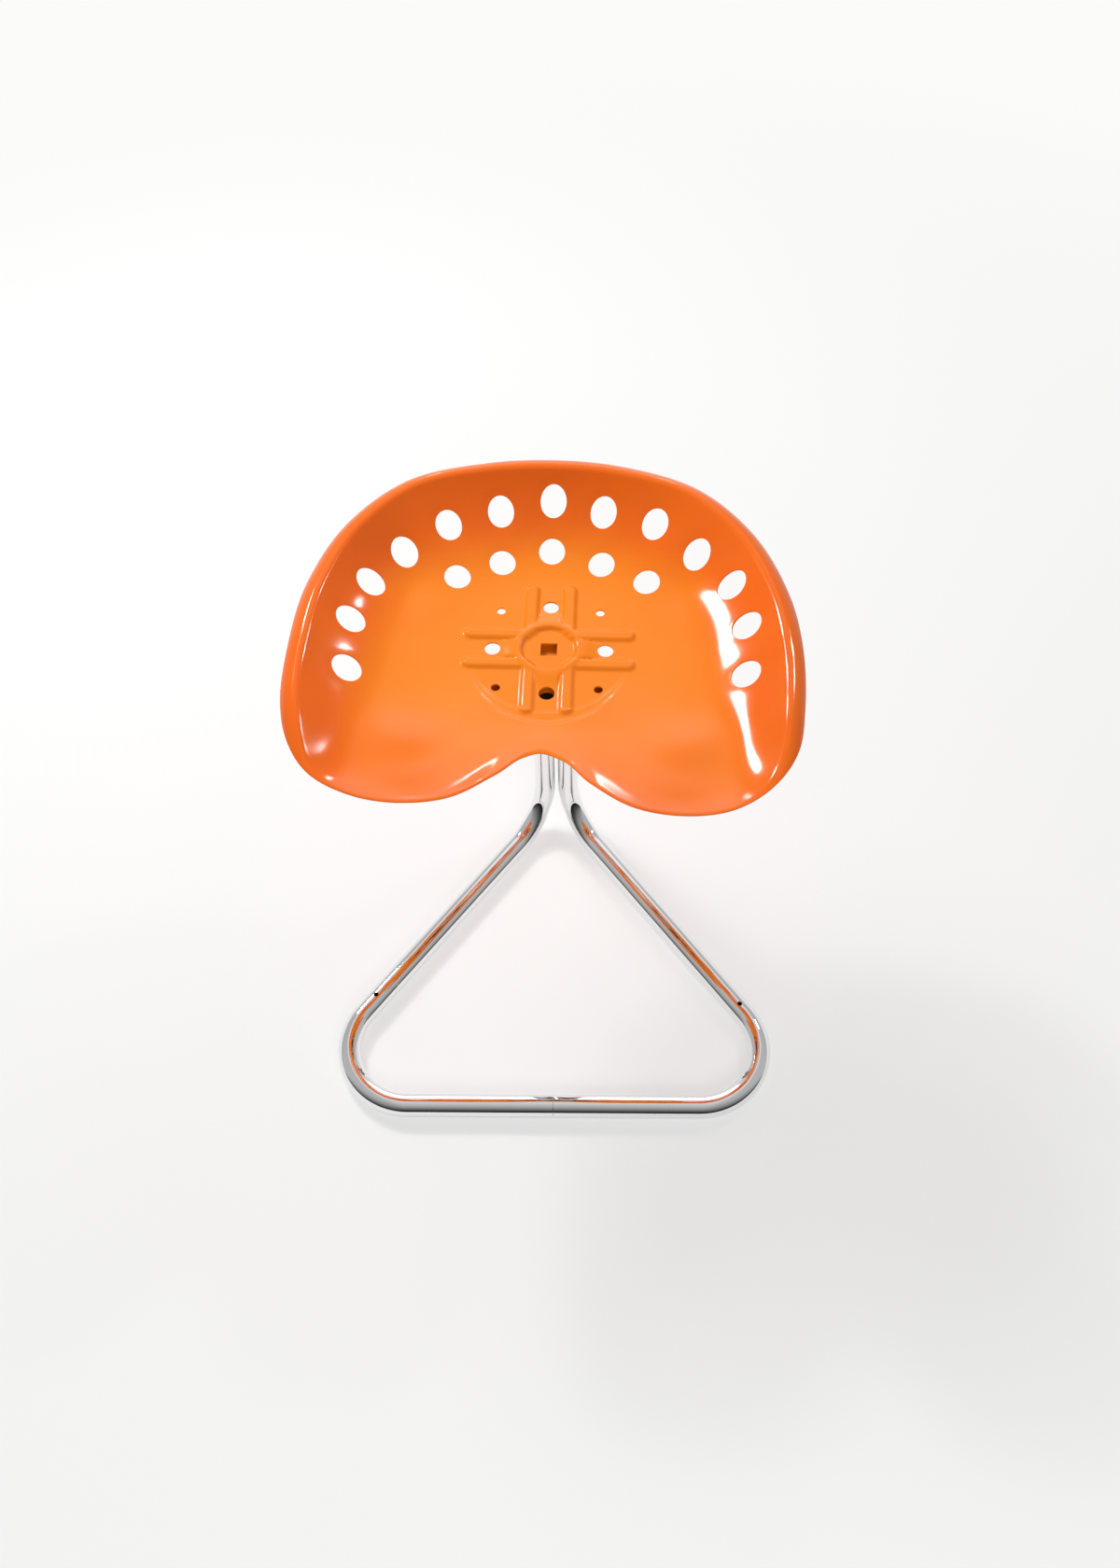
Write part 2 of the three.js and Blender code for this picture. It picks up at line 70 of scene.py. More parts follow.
def mix(low: Array | float, high: Array | float, share: Array | float) -> Array:
    """The value that lies the given share of the way from low to high."""
    return low + (high - low) * share


def ring(radius: float, sides: int, centre: Sequence[float] = (0, 0), turn: float = 0) -> Array:
    """Points of a counterclockwise circle in a flat layout."""
    angles = turn + np.arange(sides) * 2 * math.pi / sides
    return np.column_stack([np.cos(angles), np.sin(angles)]) * radius + np.asarray(centre)


def unit(vectors: Array) -> Array:
    """Vectors scaled to length 1."""
    return vectors / np.maximum(np.linalg.norm(vectors, axis=-1, keepdims=True), 1e-12)


def filleted(corners: Sequence[Sequence[float]], radius: float, inset: float = 0, steps: int = 6) -> Array:
    """A closed outline with rounded corners.

    Args:
        corners: The sharp corners, counterclockwise.
        radius: The corners' radius, before the inset.
        inset: How far the outline lies inside the one through the corners.
        steps: Segments in each corner.

    Returns:
        The outline's points, the same number for every inset.
    """
    places = [Vector(corner) for corner in corners]
    points = []
    for i, place in enumerate(places):
        incoming = (place - places[i - 1]).normalized()
        outgoing = (places[(i + 1) % len(places)] - place).normalized()
        turn = math.atan2(incoming.cross(outgoing), incoming.dot(outgoing))
        side = math.copysign(1, turn)
        inward = Vector((-incoming.y, incoming.x)) * side
        start = place - incoming * radius * math.tan(abs(turn) / 2)
        centre = start + inward * radius
        arm = -inward * (radius - side * inset)
        for step in range(steps + 1):
            points.append(centre + Matrix.Rotation(turn * step / steps, 2) @ arm)
    return np.array(points)


@dataclass(frozen=True)
class Layout:
    """Where the stool's main places are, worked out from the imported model.

    Attributes:
        seam: Middle of the front bar, at the level of its centreline.
        hub: Middle of the pan's hub, at the level of the hub's flat top.
        turn: How far the seat is turned about the vertical, in radians.
    """

    seam: Vector
    hub: Vector
    turn: float

    @classmethod
    def from_frame(cls, rear_bolts_behind_hub: float, sheet: float, fit: float) -> "Layout":
        """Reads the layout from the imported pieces.

        Args:
            rear_bolts_behind_hub: From the hub back to the line of the rear clamp's bolts.
            sheet: Thickness of the pan.
            fit: Gap between the pan and the carrier.

        Returns:
            The layout in the row frame.
        """
        def middle(*nodes: str) -> Vector:
            return sum((sum(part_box(node), Vector()) / 2 for node in nodes), Vector()) / len(nodes)

        front = middle("clamp_bolt_front_left", "clamp_bolt_front_right")
        rear = middle("clamp_bolt_rear_left", "clamp_bolt_rear_right")
        ahead = (front - rear).normalized()
        hub = rear + ahead * rear_bolts_behind_hub
        hub.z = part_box("seat_carrier")[1].z + fit + sheet
        return cls(middle("joint_sleeve"), hub, math.atan2(ahead.x, -ahead.y))

    def from_hub(self, points: Array, floor_level: bool = False) -> Array:
        """Moves points from the hub's own frame to the row frame.

        Args:
            points: Points measured from the hub.
            floor_level: Whether their heights are measured from the floor instead.

        Returns:
            The points in the row frame.
        """
        cos, sin = math.cos(self.turn), math.sin(self.turn)
        x = points[:, 0] * cos - points[:, 1] * sin + self.hub.x
        y = points[:, 0] * sin + points[:, 1] * cos + self.hub.y
        z = points[:, 2] + (0 if floor_level else self.hub.z)
        return np.column_stack([x, y, z])


class MeshMaker:
    """Collects the points and faces of one piece."""

    def __init__(self) -> None:
        """Starts with nothing."""
        self.points: list[Array] = []
        self.faces: list[Sequence[int]] = []
        self.count = 0

    def add(self, points: Array) -> Array:
        """Adds points and gives their numbers."""
        ids = np.arange(self.count, self.count + len(points))
        self.points.append(np.asarray(points, float))
        self.count += len(points)
        return ids

    def band(self, low: Array, high: Array) -> None:
        """Joins two closed loops of as many points, seen from the side where they run to the right."""
        ahead_low, ahead_high = np.roll(low, -1), np.roll(high, -1)
        self.faces.extend(np.column_stack([low, ahead_low, ahead_high, high]).tolist())

    def bands(self, loops: Sequence[Array]) -> None:
        """Joins each loop to the next one."""
        for low, high in zip(loops, loops[1:]):
            self.band(low, high)

    def fan(self, loop: Array, tip: Sequence[float], upwards: bool) -> None:
        """Closes a loop with triangles to one point."""
        (centre,) = self.add(np.array([tip]))
        for here, ahead in zip(loop, np.roll(loop, -1)):
            self.faces.append([here, ahead, centre] if upwards else [ahead, here, centre])

    def fill(self, outline: Array, holes: Sequence[Array], upwards: bool) -> None:
        """Fills a level outline that has holes with triangles."""
        ids = np.concatenate([outline, *holes])
        flat = np.vstack(self.points)[ids][:, :2]
        loops = np.split(np.arange(len(ids)), np.cumsum([len(outline), *map(len, holes)])[:-1])
        _, triangles, renamed = triangulate(flat, loops)
        given = np.empty(len(ids), int)
        given[renamed] = ids
        for corners in given[triangles].tolist():
            self.faces.append(corners if upwards else corners[::-1])

    def piece(self, name: str, crease: float = 40) -> bpy.types.Object:
        """Makes the object.

        Args:
            name: The piece's name.
            crease: Angle between faces, in degrees, from which an edge stays sharp.

        Returns:
            The object, at the origin, with smooth faces.
        """
        mesh = bpy.data.meshes.new(name)
        mesh.from_pydata(np.vstack(self.points).tolist(), [], self.faces)
        return placed(name, mesh, crease)


def placed(name: str, mesh: bpy.types.Mesh, crease: float = 40) -> bpy.types.Object:
    """Puts a finished mesh into the scene, shaded smooth up to an angle in degrees."""
    mesh.validate()
    mesh.shade_smooth()
    mesh.set_sharp_from_angle(angle=math.radians(crease))
    mesh.name = name
    piece = bpy.data.objects.new(name, mesh)
    bpy.context.scene.collection.objects.link(piece)
    return piece


def triangulate(flat: Array, loops: Sequence[Array]) -> tuple[Array, Array, Array]:
    """Fills a flat layout with triangles that keep to its outline and leave its holes open.

    Args:
        flat: Points of the layout.
        loops: Numbers of the outline's points, and then of each hole's.

    Returns:
        The points, the counterclockwise triangles, and the new number of each given point.
    """
    scale = 1 / MM
    edges = [pair for loop in loops for pair in zip(loop.tolist(), np.roll(loop, -1).tolist())]
    inside_only = 1
    tolerance = 1e-5
    found = delaunay_2d_cdt([Vector(p) for p in flat * scale], edges, [], inside_only, tolerance)
    points, faces, sources = np.array(found[0]) / scale, np.array(found[2]), found[3]
    renamed = np.zeros(len(flat), int)
    hole_of = np.full(len(points), -1)
    owner = np.full(len(flat), -1)
    for number, loop in enumerate(loops[1:]):
        owner[loop] = number
    for new, old in enumerate(sources):
        renamed[old] = new
        if old:
            hole_of[new] = owner[old[0]]
    owners = hole_of[faces]
    in_hole = (owners[:, 0] >= 0) & (owners[:, 0] == owners[:, 1]) & (owners[:, 1] == owners[:, 2])
    faces = faces[~in_hole]
    a, b, c = (points[faces[:, k]] for k in range(3))
    area = (b[:, 0] - a[:, 0]) * (c[:, 1] - a[:, 1]) - (b[:, 1] - a[:, 1]) * (c[:, 0] - a[:, 0])
    faces[area < 0] = faces[area < 0][:, ::-1]
    return points, faces, renamed


class SheetMesher:
    """Meshes a sheet of even thickness with rounded edges from a flat layout."""

    rim_steps = 3

    def __init__(self, outline: Array, holes: Sequence[Array], between: Array) -> None:
        """Lays out the sheet.

        Args:
            outline: The sheet's edge, counterclockwise.
            holes: The edges of its holes, counterclockwise.
            between: Further points of the sheet.
        """
        loops = [outline, *(hole[::-1] for hole in holes)]
        ends = np.cumsum([len(loop) for loop in loops])
        numbers = np.split(np.arange(ends[-1]), ends[:-1])
        flat = np.vstack([*loops, between])
        self.flat, self.triangles, renamed = triangulate(flat, numbers)
        self.loops = [renamed[loop] for loop in numbers]

    def normals(self, points: Array) -> Array:
        """The surface's direction at each point, from the triangles round it."""
        a, b, c = (points[self.triangles[:, k]] for k in range(3))
        crossed = np.cross(b - a, c - a)
        total = np.zeros_like(points)
        for k in range(3):
            np.add.at(total, self.triangles[:, k], crossed)
        return unit(total)

    def mesh(self, maker: MeshMaker, surface: Curve, thickness: float, rounding: float,
             support: Curve | None = None, place: Curve | None = None) -> None:
        """Adds the sheet to a piece.

        Args:
            maker: The piece that takes the sheet.
            surface: Gives the upper side's points for points of the layout.
            thickness: The sheet's thickness.
            rounding: Radius of its edges, which stand out from the layout by as much.
            support: A calmer surface whose direction the thickness follows, where it isn't the same.
            place: Moves finished points to the row frame.
        """
        top = surface(self.flat)
        normals = self.normals(top if support is None else support(self.flat))
        place = place or (lambda points: points)
        upper = maker.add(place(top))
        under = maker.add(place(top - thickness * normals))
        maker.faces.extend(upper[self.triangles].tolist())
        maker.faces.extend(under[self.triangles[:, ::-1]].tolist())
        for loop in self.loops:
            edge, up = top[loop], normals[loop]
            along = np.roll(edge, -1, axis=0) - np.roll(edge, 1, axis=0)
            out = unit(np.cross(along, up))
            rows = [upper[loop]]
            for turn in np.linspace(0, math.pi / 2, self.rim_steps + 1)[1:]:
                rows.append(edge + rounding * (out * math.sin(turn) - up * (1 - math.cos(turn))))
            for turn in np.linspace(math.pi / 2, math.pi, self.rim_steps + 1)[:-1]:
                drop = thickness - rounding - rounding * math.cos(turn)
                rows.append(edge + rounding * out * math.sin(turn) - up * drop)
            rows = [rows[0], *(maker.add(place(row)) for row in rows[1:]), under[loop]]
            maker.bands(rows[::-1])


class NodeGraph:
    """A node tree that is built node by node."""

    def __init__(self, tree: bpy.types.NodeTree) -> None:
        """Empties the tree."""
        self.tree = tree
        tree.nodes.clear()

    def add(self, kind: str, inputs: dict | None = None, **settings: object) -> bpy.types.Node:
        """Adds a node.

        Args:
            kind: The node's type.
            inputs: A value or a socket to link for each input, by its name or number.
            settings: The node's own settings.

        Returns:
            The node.
        """
        node = self.tree.nodes.new(kind)
        for name, value in settings.items():
            setattr(node, name, value)
        for key, value in (inputs or {}).items():
            if isinstance(value, bpy.types.NodeSocket):
                self.tree.links.new(value, node.inputs[key])
            else:
                node.inputs[key].default_value = value
        return node

    def maths(self, operation: str, *values: object) -> bpy.types.NodeSocket:
        """The result of a Math node."""
        return self.add("ShaderNodeMath", dict(enumerate(values)), operation=operation).outputs[0]

    def blended(self, share: object, low: object, high: object) -> bpy.types.NodeSocket:
        """A colour that goes from low to high with the share."""
        node = self.add("ShaderNodeMix", {0: share, 6: low, 7: high}, data_type="RGBA")
        return node.outputs[2]

    def ranged(self, value: object, start: float, end: float, low: float = 0, high: float = 1,
               interpolation: str = "SMOOTHSTEP") -> bpy.types.NodeSocket:
        """A value mapped from one range to another."""
        inputs = {0: value, 1: start, 2: end, 3: low, 4: high}
        return self.add("ShaderNodeMapRange", inputs, interpolation_type=interpolation).outputs[0]

    def noise(self, place: object, scale: float, detail: float = 2, roughness: float = 0.5) -> bpy.types.NodeSocket:
        """A noise value over a place; the scale is in waves per metre."""
        inputs = {"Vector": place, "Scale": scale, "Detail": detail, "Roughness": roughness}
        return self.add("ShaderNodeTexNoise", inputs).outputs["Fac"]

    def stretched(self, place: object, scale: Sequence[float], turn: float = 0) -> bpy.types.NodeSocket:
        """A place scaled along its axes after a turn about the vertical."""
        turned = self.add("ShaderNodeMapping", {"Vector": place, "Rotation": (0, 0, turn)})
        scaled = self.add("ShaderNodeMapping", {"Vector": turned.outputs[0], "Scale": tuple(scale)})
        return scaled.outputs[0]


def finish_name(slot: str) -> str:
    """The name of a slot's material, which isn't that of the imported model's plain one."""
    return f"{slot}_finish"


def new_material(slot: str) -> tuple[bpy.types.Material, NodeGraph, bpy.types.NodeSocket]:
    """An empty material, its graph, and the place on the object, in metres."""
    material = bpy.data.materials.new(finish_name(slot))
    material.use_nodes = True
    graph = NodeGraph(material.node_tree)
    return material, graph, graph.add("ShaderNodeTexCoord").outputs["Object"]


def finish_material(graph: NodeGraph, inputs: dict) -> None:
    """Ends a graph in one principled shader."""
    shader = graph.add("ShaderNodeBsdfPrincipled", inputs)
    graph.add("ShaderNodeOutputMaterial", {"Surface": shader.outputs[0]})


@dataclass(frozen=True)
class Enamel:
    """Stoved enamel: glossy and saturated, with painted shade that deepens the orange up the walls, a faint orange
    peel and hazy rubbed patches.
    """

    slot: str = "orange_enamel"
    colour: tuple[float, float, float, float] = (0.96, 0.240, 0.004, 1)
    # Painted shade: the darker, redder orange painted high on the walls where less light falls; levels are the
    # heights, in metres, over which it comes in.
    wall_shade_colour: tuple[float, float, float, float] = (0.93, 0.145, 0.001, 1)
    levels: tuple[float, float] = (0.398, 0.428)
    gloss: float = 0.11
    haze: float = 0.20
    peel_scale: float = 260
    peel_depth: float = 0.00001

    def material(self) -> bpy.types.Material:
        """Builds the material."""
        material, graph, place = new_material(self.slot)
        cloud = graph.ranged(graph.noise(place, 7, 3), 0.3, 0.7, -0.12, 0.12)
        # Painted shade: the orange deepens with height up the walls, mixed with a random cloudy tone.
        height = graph.add("ShaderNodeSeparateXYZ", {0: place}).outputs["Z"]
        painted_shade_and_tone = graph.maths("ADD", graph.ranged(height, *self.levels), cloud)
        colour = graph.blended(painted_shade_and_tone, self.colour, self.wall_shade_colour)
        rubbed = graph.ranged(graph.noise(graph.stretched(place, (1, 1.6, 1), 0.5), 16, 6, 0.65), 0.52, 0.75)
        streaks = graph.ranged(graph.noise(graph.stretched(place, (14, 1, 1), 0.35), 40, 4, 0.7), 0.55, 0.72)
        rubbed = graph.maths("MULTIPLY", rubbed, graph.maths("ADD", graph.maths("MULTIPLY", streaks, 0.6), 0.4))
        roughness = graph.ranged(rubbed, 0, 1, self.gloss, self.haze, "LINEAR")
        peel = graph.noise(place, self.peel_scale, 2)
        waves = graph.noise(place, 22, 1)
        height = graph.maths("ADD", peel, graph.maths("MULTIPLY", waves, 6))
        bump = graph.add("ShaderNodeBump", {"Height": height, "Distance": self.peel_depth, "Strength": 1.0})
        finish_material(graph, {
            "Base Color": colour, "Roughness": roughness, "Normal": bump.outputs[0], "IOR": 1.42,
        })
        return material


@dataclass(frozen=True)
class Chrome:
    """Bright chrome plate with faint smudges, faint waves and a few dull specks."""

    slot: str = "chromed_tube"
    colour: tuple[float, float, float, float] = (0.86, 0.865, 0.87, 1)
    dull: tuple[float, float, float, float] = (0.60, 0.59, 0.57, 1)
    gloss: float = 0.035
    haze: float = 0.16

    def material(self) -> bpy.types.Material:
        """Builds the material."""
        material, graph, place = new_material(self.slot)
        smudge = graph.ranged(graph.noise(place, 30, 5, 0.6), 0.55, 0.8)
        specks = graph.ranged(graph.noise(place, 650, 2, 0.5), 0.70, 0.76)
        patches = graph.ranged(graph.noise(place, 9, 2), 0.5, 0.62)
        specks = graph.maths("MULTIPLY", specks, patches)
        colour = graph.blended(specks, self.colour, self.dull)
        roughness = graph.ranged(graph.maths("ADD", graph.maths("MULTIPLY", smudge, 0.35), specks),
                                 0, 1, self.gloss, self.haze, "LINEAR")
        waves = graph.noise(place, 60, 1)
        bump = graph.add("ShaderNodeBump", {"Height": waves, "Distance": 0.00003, "Strength": 1.0})
        finish_material(graph, {
            "Base Color": colour, "Roughness": roughness, "Normal": bump.outputs[0], "Metallic": 1.0,
        })
        return material


@dataclass(frozen=True)
class Zinc:
    """Zinc plate: pale, slightly blue and yellow by turns, with a fine grain."""

    slot: str = "zinc_steel"
    cool: tuple[float, float, float, float] = (0.56, 0.58, 0.60, 1)
    warm: tuple[float, float, float, float] = (0.62, 0.59, 0.50, 1)

    def material(self) -> bpy.types.Material:
        """Builds the material."""
        material, graph, place = new_material(self.slot)
        colour = graph.blended(graph.ranged(graph.noise(place, 120, 3), 0.4, 0.65), self.cool, self.warm)
        grain = graph.noise(place, 2600, 2)
        bump = graph.add("ShaderNodeBump", {"Height": grain, "Distance": 0.00001, "Strength": 0.6})
        roughness = graph.ranged(graph.noise(place, 300, 3), 0.3, 0.7, 0.25, 0.42)
        finish_material(graph, {
            "Base Color": colour, "Roughness": roughness, "Normal": bump.outputs[0], "Metallic": 1.0,
        })
        return material


@dataclass(frozen=True)
class DarkFinish:
    """A black finish: satin paint, moulded plastic or rubber, told apart by its gloss and grain."""

    slot: str
    colour: tuple[float, float, float, float]
    dusty: tuple[float, float, float, float]
    low_roughness: float
    high_roughness: float
    grain_scale: float
    grain_depth: float

    def material(self) -> bpy.types.Material:
        """Builds the material."""
        material, graph, place = new_material(self.slot)
        dust = graph.ranged(graph.noise(place, 70, 4, 0.6), 0.45, 0.75)
        colour = graph.blended(dust, self.colour, self.dusty)
        roughness = graph.ranged(graph.noise(place, 180, 3), 0.3, 0.7, self.low_roughness, self.high_roughness)
        grain = graph.noise(place, self.grain_scale, 2)
        bump = graph.add("ShaderNodeBump", {"Height": grain, "Distance": self.grain_depth, "Strength": 0.8})
        finish_material(graph, {"Base Color": colour, "Roughness": roughness, "Normal": bump.outputs[0]})
        return material


class Finish(Enum):
    """The stool's finishes."""

    ENAMEL = Enamel()
    CHROME = Chrome()
    ZINC = Zinc()
    BLACK_STEEL = DarkFinish(
        "black_steel", (0.018, 0.018, 0.019, 1), (0.03, 0.03, 0.031, 1), 0.32, 0.46, 900, 0.00003)
    PLASTIC = DarkFinish(
        "black_plastic", (0.014, 0.014, 0.014, 1), (0.024, 0.024, 0.024, 1), 0.45, 0.58, 2200, 0.00002)
    RUBBER = DarkFinish(
        "black_rubber", (0.010, 0.010, 0.010, 1), (0.022, 0.021, 0.020, 1), 0.68, 0.82, 1500, 0.00004)

    def material(self) -> bpy.types.Material:
        """The finish's material, built once."""
        return bpy.data.materials.get(finish_name(self.value.slot)) or self.value.material()

    def dress(self, piece: bpy.types.Object) -> None:
        """Gives a piece this finish."""
        piece.data.materials.clear()
        piece.data.materials.append(self.material())


def mount(piece: bpy.types.Object, finish: Finish, *nodes: str) -> bpy.types.Object:
    """Dresses a piece, makes it ride on the stool's body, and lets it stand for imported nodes."""
    finish.dress(piece)
    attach(piece, BODY)
    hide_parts(*nodes)
    LOG.info("%s stands for %s with %d faces", piece.name, ", ".join(nodes), len(piece.data.polygons))
    return piece


class NodeSweep:
    """A Geometry Nodes tree with named inputs, run once on a base object and turned into a plain mesh."""

    def __init__(self, name: str) -> None:
        """Starts a tree that has only its geometry input and output."""
        self.tree = bpy.data.node_groups.new(name, "GeometryNodeTree")
        self.tree.interface.new_socket("Geometry", in_out="INPUT", socket_type="NodeSocketGeometry")
        self.tree.interface.new_socket("Geometry", in_out="OUTPUT", socket_type="NodeSocketGeometry")
        self.graph = NodeGraph(self.tree)
        self.values: dict[str, object] = {}
        self.source = self.graph.add("NodeGroupInput")
        self.start = self.source.outputs["Geometry"]

    def size(self, name: str, value: object, kind: str = "NodeSocketFloat") -> bpy.types.NodeSocket:
        """Adds a named input and gives its socket."""
        socket = self.tree.interface.new_socket(name, in_out="INPUT", socket_type=kind)
        self.values[socket.identifier] = value
        return next(s for s in self.source.outputs if s.identifier == socket.identifier)

    def node(self, kind: str, inputs: dict | None = None, **settings: object) -> bpy.types.NodeSocket:
        """Adds a node and gives its first output."""
        return self.graph.add(kind, inputs, **settings).outputs[0]

    def joined(self, *parts: bpy.types.NodeSocket) -> bpy.types.NodeSocket:
        """Joins geometries."""
        join = self.graph.add("GeometryNodeJoinGeometry")
        for part in parts:
            self.tree.links.new(part, join.inputs[0])
        return join.outputs[0]

    def run(self, result: bpy.types.NodeSocket, base: bpy.types.Mesh, finish: Finish) -> bpy.types.Mesh:
        """Ends the tree, runs it on a base mesh and takes the result as a plain mesh.

        Args:
            result: The geometry that the tree gives.
            base: The mesh that the tree starts from.
            finish: The finish whose material it sets.

        Returns:
            The new mesh.
        """
        real = self.node("GeometryNodeRealizeInstances", {0: result})
        dressed = self.node("GeometryNodeSetMaterial", {0: real, "Material": finish.material()})
        self.graph.add("NodeGroupOutput", {0: dressed})
        host = bpy.data.objects.new(base.name, base)
        bpy.context.scene.collection.objects.link(host)
        modifier = host.modifiers.new("sweep", "NODES")
        modifier.node_group = self.tree
        for identifier, value in self.values.items():
            modifier[identifier] = value
        evaluated = host.evaluated_get(bpy.context.evaluated_depsgraph_get())
        mesh = bpy.data.meshes.new_from_object(evaluated)
        host.modifiers.clear()
        bpy.data.objects.remove(host)
        return mesh


def point_mesh(name: str, points: Iterable[Sequence[float]], chained: bool = False) -> bpy.types.Mesh:
    """A mesh of loose points, or of one chain of edges, for a tree to start from."""
    mesh = bpy.data.meshes.new(name)
    places = [tuple(point) for point in points]
    edges = [(i, i + 1) for i in range(len(places) - 1)] if chained else []
    mesh.from_pydata(places, edges, [])
    return mesh


@dataclass(frozen=True)
class Dent:
    """A small knock in the pan, seen from above.

    Attributes:
        angle: Where it lies round the pan, in degrees from the back towards the right.
        out: Its reach as a share of the outline's reach.
        width: Its width round the pan, in degrees.
        depth: How far the metal is moved up, or down where negative.
        spread: Its length outwards, as a share of the outline's reach.
    """

    angle: float
    out: float
    width: float
    depth: float
    spread: float = 0.03


@dataclass(frozen=True)
class Swell:
    """Soft highs and lows of the pressing that are the same on both sides.

    Attributes:
        width: Their width round the pan, in degrees.
        spread: Their length outwards, as a share of the outline's reach.
        places: The angle from the back, the share of the reach, and the height in mm of each.
    """

    width: float
    spread: float
    places: tuple[tuple[float, float, float], ...]


@dataclass
class SeatPan:
    """The pressed steel pan: its bowl, rolled lip, hub pressings and holes."""

    layout: Layout
    sheet: float = 0.002
    half_width: float = 0.2485
    back_reach: float = 0.218
    front_reach: float = 0.2135
    disc_radius: float = 0.079
    back_rise: float = 0.0573
    side_rise: float = 0.0508
    front_rise: float = 0.0225
    pommel_rise: float = -0.0035
    bowl_power: float = 2.04
    front_power: float = 1.35
    step_rise: float = 0.006
    step_reach: float = 0.019
    side_step_reach: float = 0.003
    crest_radius: float = 0.009
    front_crest_radius: float = 0.010
    crest_turn: float = math.radians(18)
    front_crest_turn: float = math.radians(5)
    lip_radius: float = 0.026
    front_lip_radius: float = 0.008
    lip_turn: float = math.radians(52)
    front_lip_turn: float = math.radians(12)
    side_angle: float = math.radians(90)
    front_angle: float = math.radians(165)
    pommel: tuple[float, float] = (math.radians(163), math.radians(178))
    front_shape: tuple[float, float] = (math.radians(110), math.radians(165))
    lip_fade: tuple[float, float] = (math.radians(116), math.radians(140))
    step_fade_start: float = math.radians(105)
    air_hole_radius: float = 0.0135
    side_hole_stretch: float = 0.12
    mount_hole_radius: float = 0.0078
    mount_hole_reach: float = 0.056
    small_hole_radius: float = 0.0043
    small_hole_reach: float = 0.050
    square_hole: float = 0.016
    square_corner: float = 0.0008
    rib_offset: float = 0.019
    rib_base: float = 0.0172
    rib_top: float = 0.0070
    rib_rise: float = 0.0030
    rib_start: float = 0.024
    rib_end: float = 0.087
    front_rib_end: float = 0.086
    boss_crest: tuple[float, float] = (0.029, 0.0310)
    boss_floor_radius: float = 0.0245
    boss_foot: float = 0.0400
    channel_foot: float = 0.0530
    boss_rise: float = 0.0036
    edge_round: float = 0.0004
    hub_spacing: float = 0.0015
    bowl_spacing: float = 0.0031
    stations: int = 480
    crest_rings: int = 10
    lip_rings: int = 7
    outline_shares: tuple = (
        (0, 1), (0.299, 0.962), (0.596, 0.832), (0.815, 0.557), (0.943, 0.197), (0.984, -0.134),
        (0.976, -0.457), (0.942, -0.68), (0.855, -0.84), (0.71, -0.949), (0.522, -0.982), (0.332, -0.949),
        (0.18, -0.825), (0.078, -0.691), (-0.008, -0.645), (-0.076, -0.679), (-0.173, -0.795),
        (-0.322, -0.919), (-0.506, -0.949), (-0.695, -0.923), (-0.854, -0.838), (-0.947, -0.683),
        (-0.996, -0.466), (-1, -0.136), (-0.968, 0.203), (-0.845, 0.577), (-0.616, 0.86), (-0.303, 0.973),
    )
    air_hole_shares: tuple = (
        (-0.775, -0.217), (-0.784, 0.054), (-0.728, 0.293), (-0.61, 0.496), (-0.438, 0.657),
        (-0.224, 0.74), (-0.005, 0.79), (0.205, 0.742), (0.419, 0.67), (0.59, 0.503), (0.724, 0.299),
        (0.776, 0.055), (0.767, -0.208), (-0.391, 0.417), (-0.21, 0.512), (-0.006, 0.58),
        (0.201, 0.512), (0.388, 0.405),
    )
    swells: tuple = (
        Swell(12, 0.11, (
            (60, 0.66, -5.7), (60, 0.80, -5.7), (60, 0.93, -0.3), (75, 0.66, -2.4), (75, 0.80, -3.0),
            (75, 0.93, -0.5), (90, 0.66, -2.7), (90, 0.80, -2.3), (90, 0.93, -1.1), (105, 0.66, -3.6),
            (105, 0.80, -2.8), (105, 0.93, -2.7), (120, 0.66, -3.5), (120, 0.80, -4.0), (120, 0.93, 3.2),
            (133, 0.66, 3.3), (133, 0.80, -4.3), (133, 0.93, -8.2),
        )),
        Swell(10, 0.13, (
            (145, 0.66, -1.8), (145, 0.82, 1.5), (145, 1.00, -4.1), (153, 0.66, 1.0), (153, 0.82, -1.5),
            (153, 1.00, -1.9), (161, 0.66, -0.2), (161, 0.82, 1.0), (161, 1.00, 4.2), (169, 0.66, -0.3),
            (169, 0.82, -2.2), (169, 1.00, -5.2), (178, 0.66, 0.3), (178, 1.00, -2.4),
        )),
    )
    dents: tuple[Dent, ...] = ()
    collar_depth: float = 0.0004
    collar_width: float = 0.005
    _angles: Array = field(init=False, repr=False)
    _reaches: Array = field(init=False, repr=False)

    def __post_init__(self) -> None:
        """Traces the outline once."""
        outline = self._outline()
        angles = np.arctan2(outline[:, 0], outline[:, 1])
        order = np.argsort(angles)
        self._angles = angles[order]
        self._reaches = np.hypot(outline[:, 0], outline[:, 1])[order] - self.edge_round

    def place(self, share: Sequence[float]) -> Array:
        """A place on the pan given as shares, seen from above."""
        u, v = share
        return np.array([u * self.half_width, v * (self.back_reach if v > 0 else self.front_reach)])

    def _outline(self, steps: int = 40) -> Array:
        """The closed centripetal curve through the outline's shares."""
        points = np.array([self.place(share) for share in self.outline_shares])
        share = np.arange(steps)[:, None] / steps
        spans = []
        for i in range(len(points)):
            p0, p1, p2, p3 = (points[(i + k) % len(points)] for k in (-1, 0, 1, 2))
            d0, d1, d2 = (math.sqrt(np.linalg.norm(b - a)) for a, b in ((p0, p1), (p1, p2), (p2, p3)))
            leave = ((p1 - p0) / d0 - (p2 - p0) / (d0 + d1) + (p2 - p1) / d1) * d1
            arrive = ((p2 - p1) / d1 - (p3 - p1) / (d1 + d2) + (p3 - p2) / d2) * d1
            spans.append(
                p1 + leave * share
                + (3 * (p2 - p1) - 2 * leave - arrive) * share ** 2
                + (2 * (p1 - p2) + leave + arrive) * share ** 3
            )
        return np.vstack(spans)

    def reach(self, angle: Array) -> Array:
        """How far the outline lies from the hub in a direction, measured from the back."""
        return np.interp(angle, self._angles, self._reaches, period=2 * math.pi)

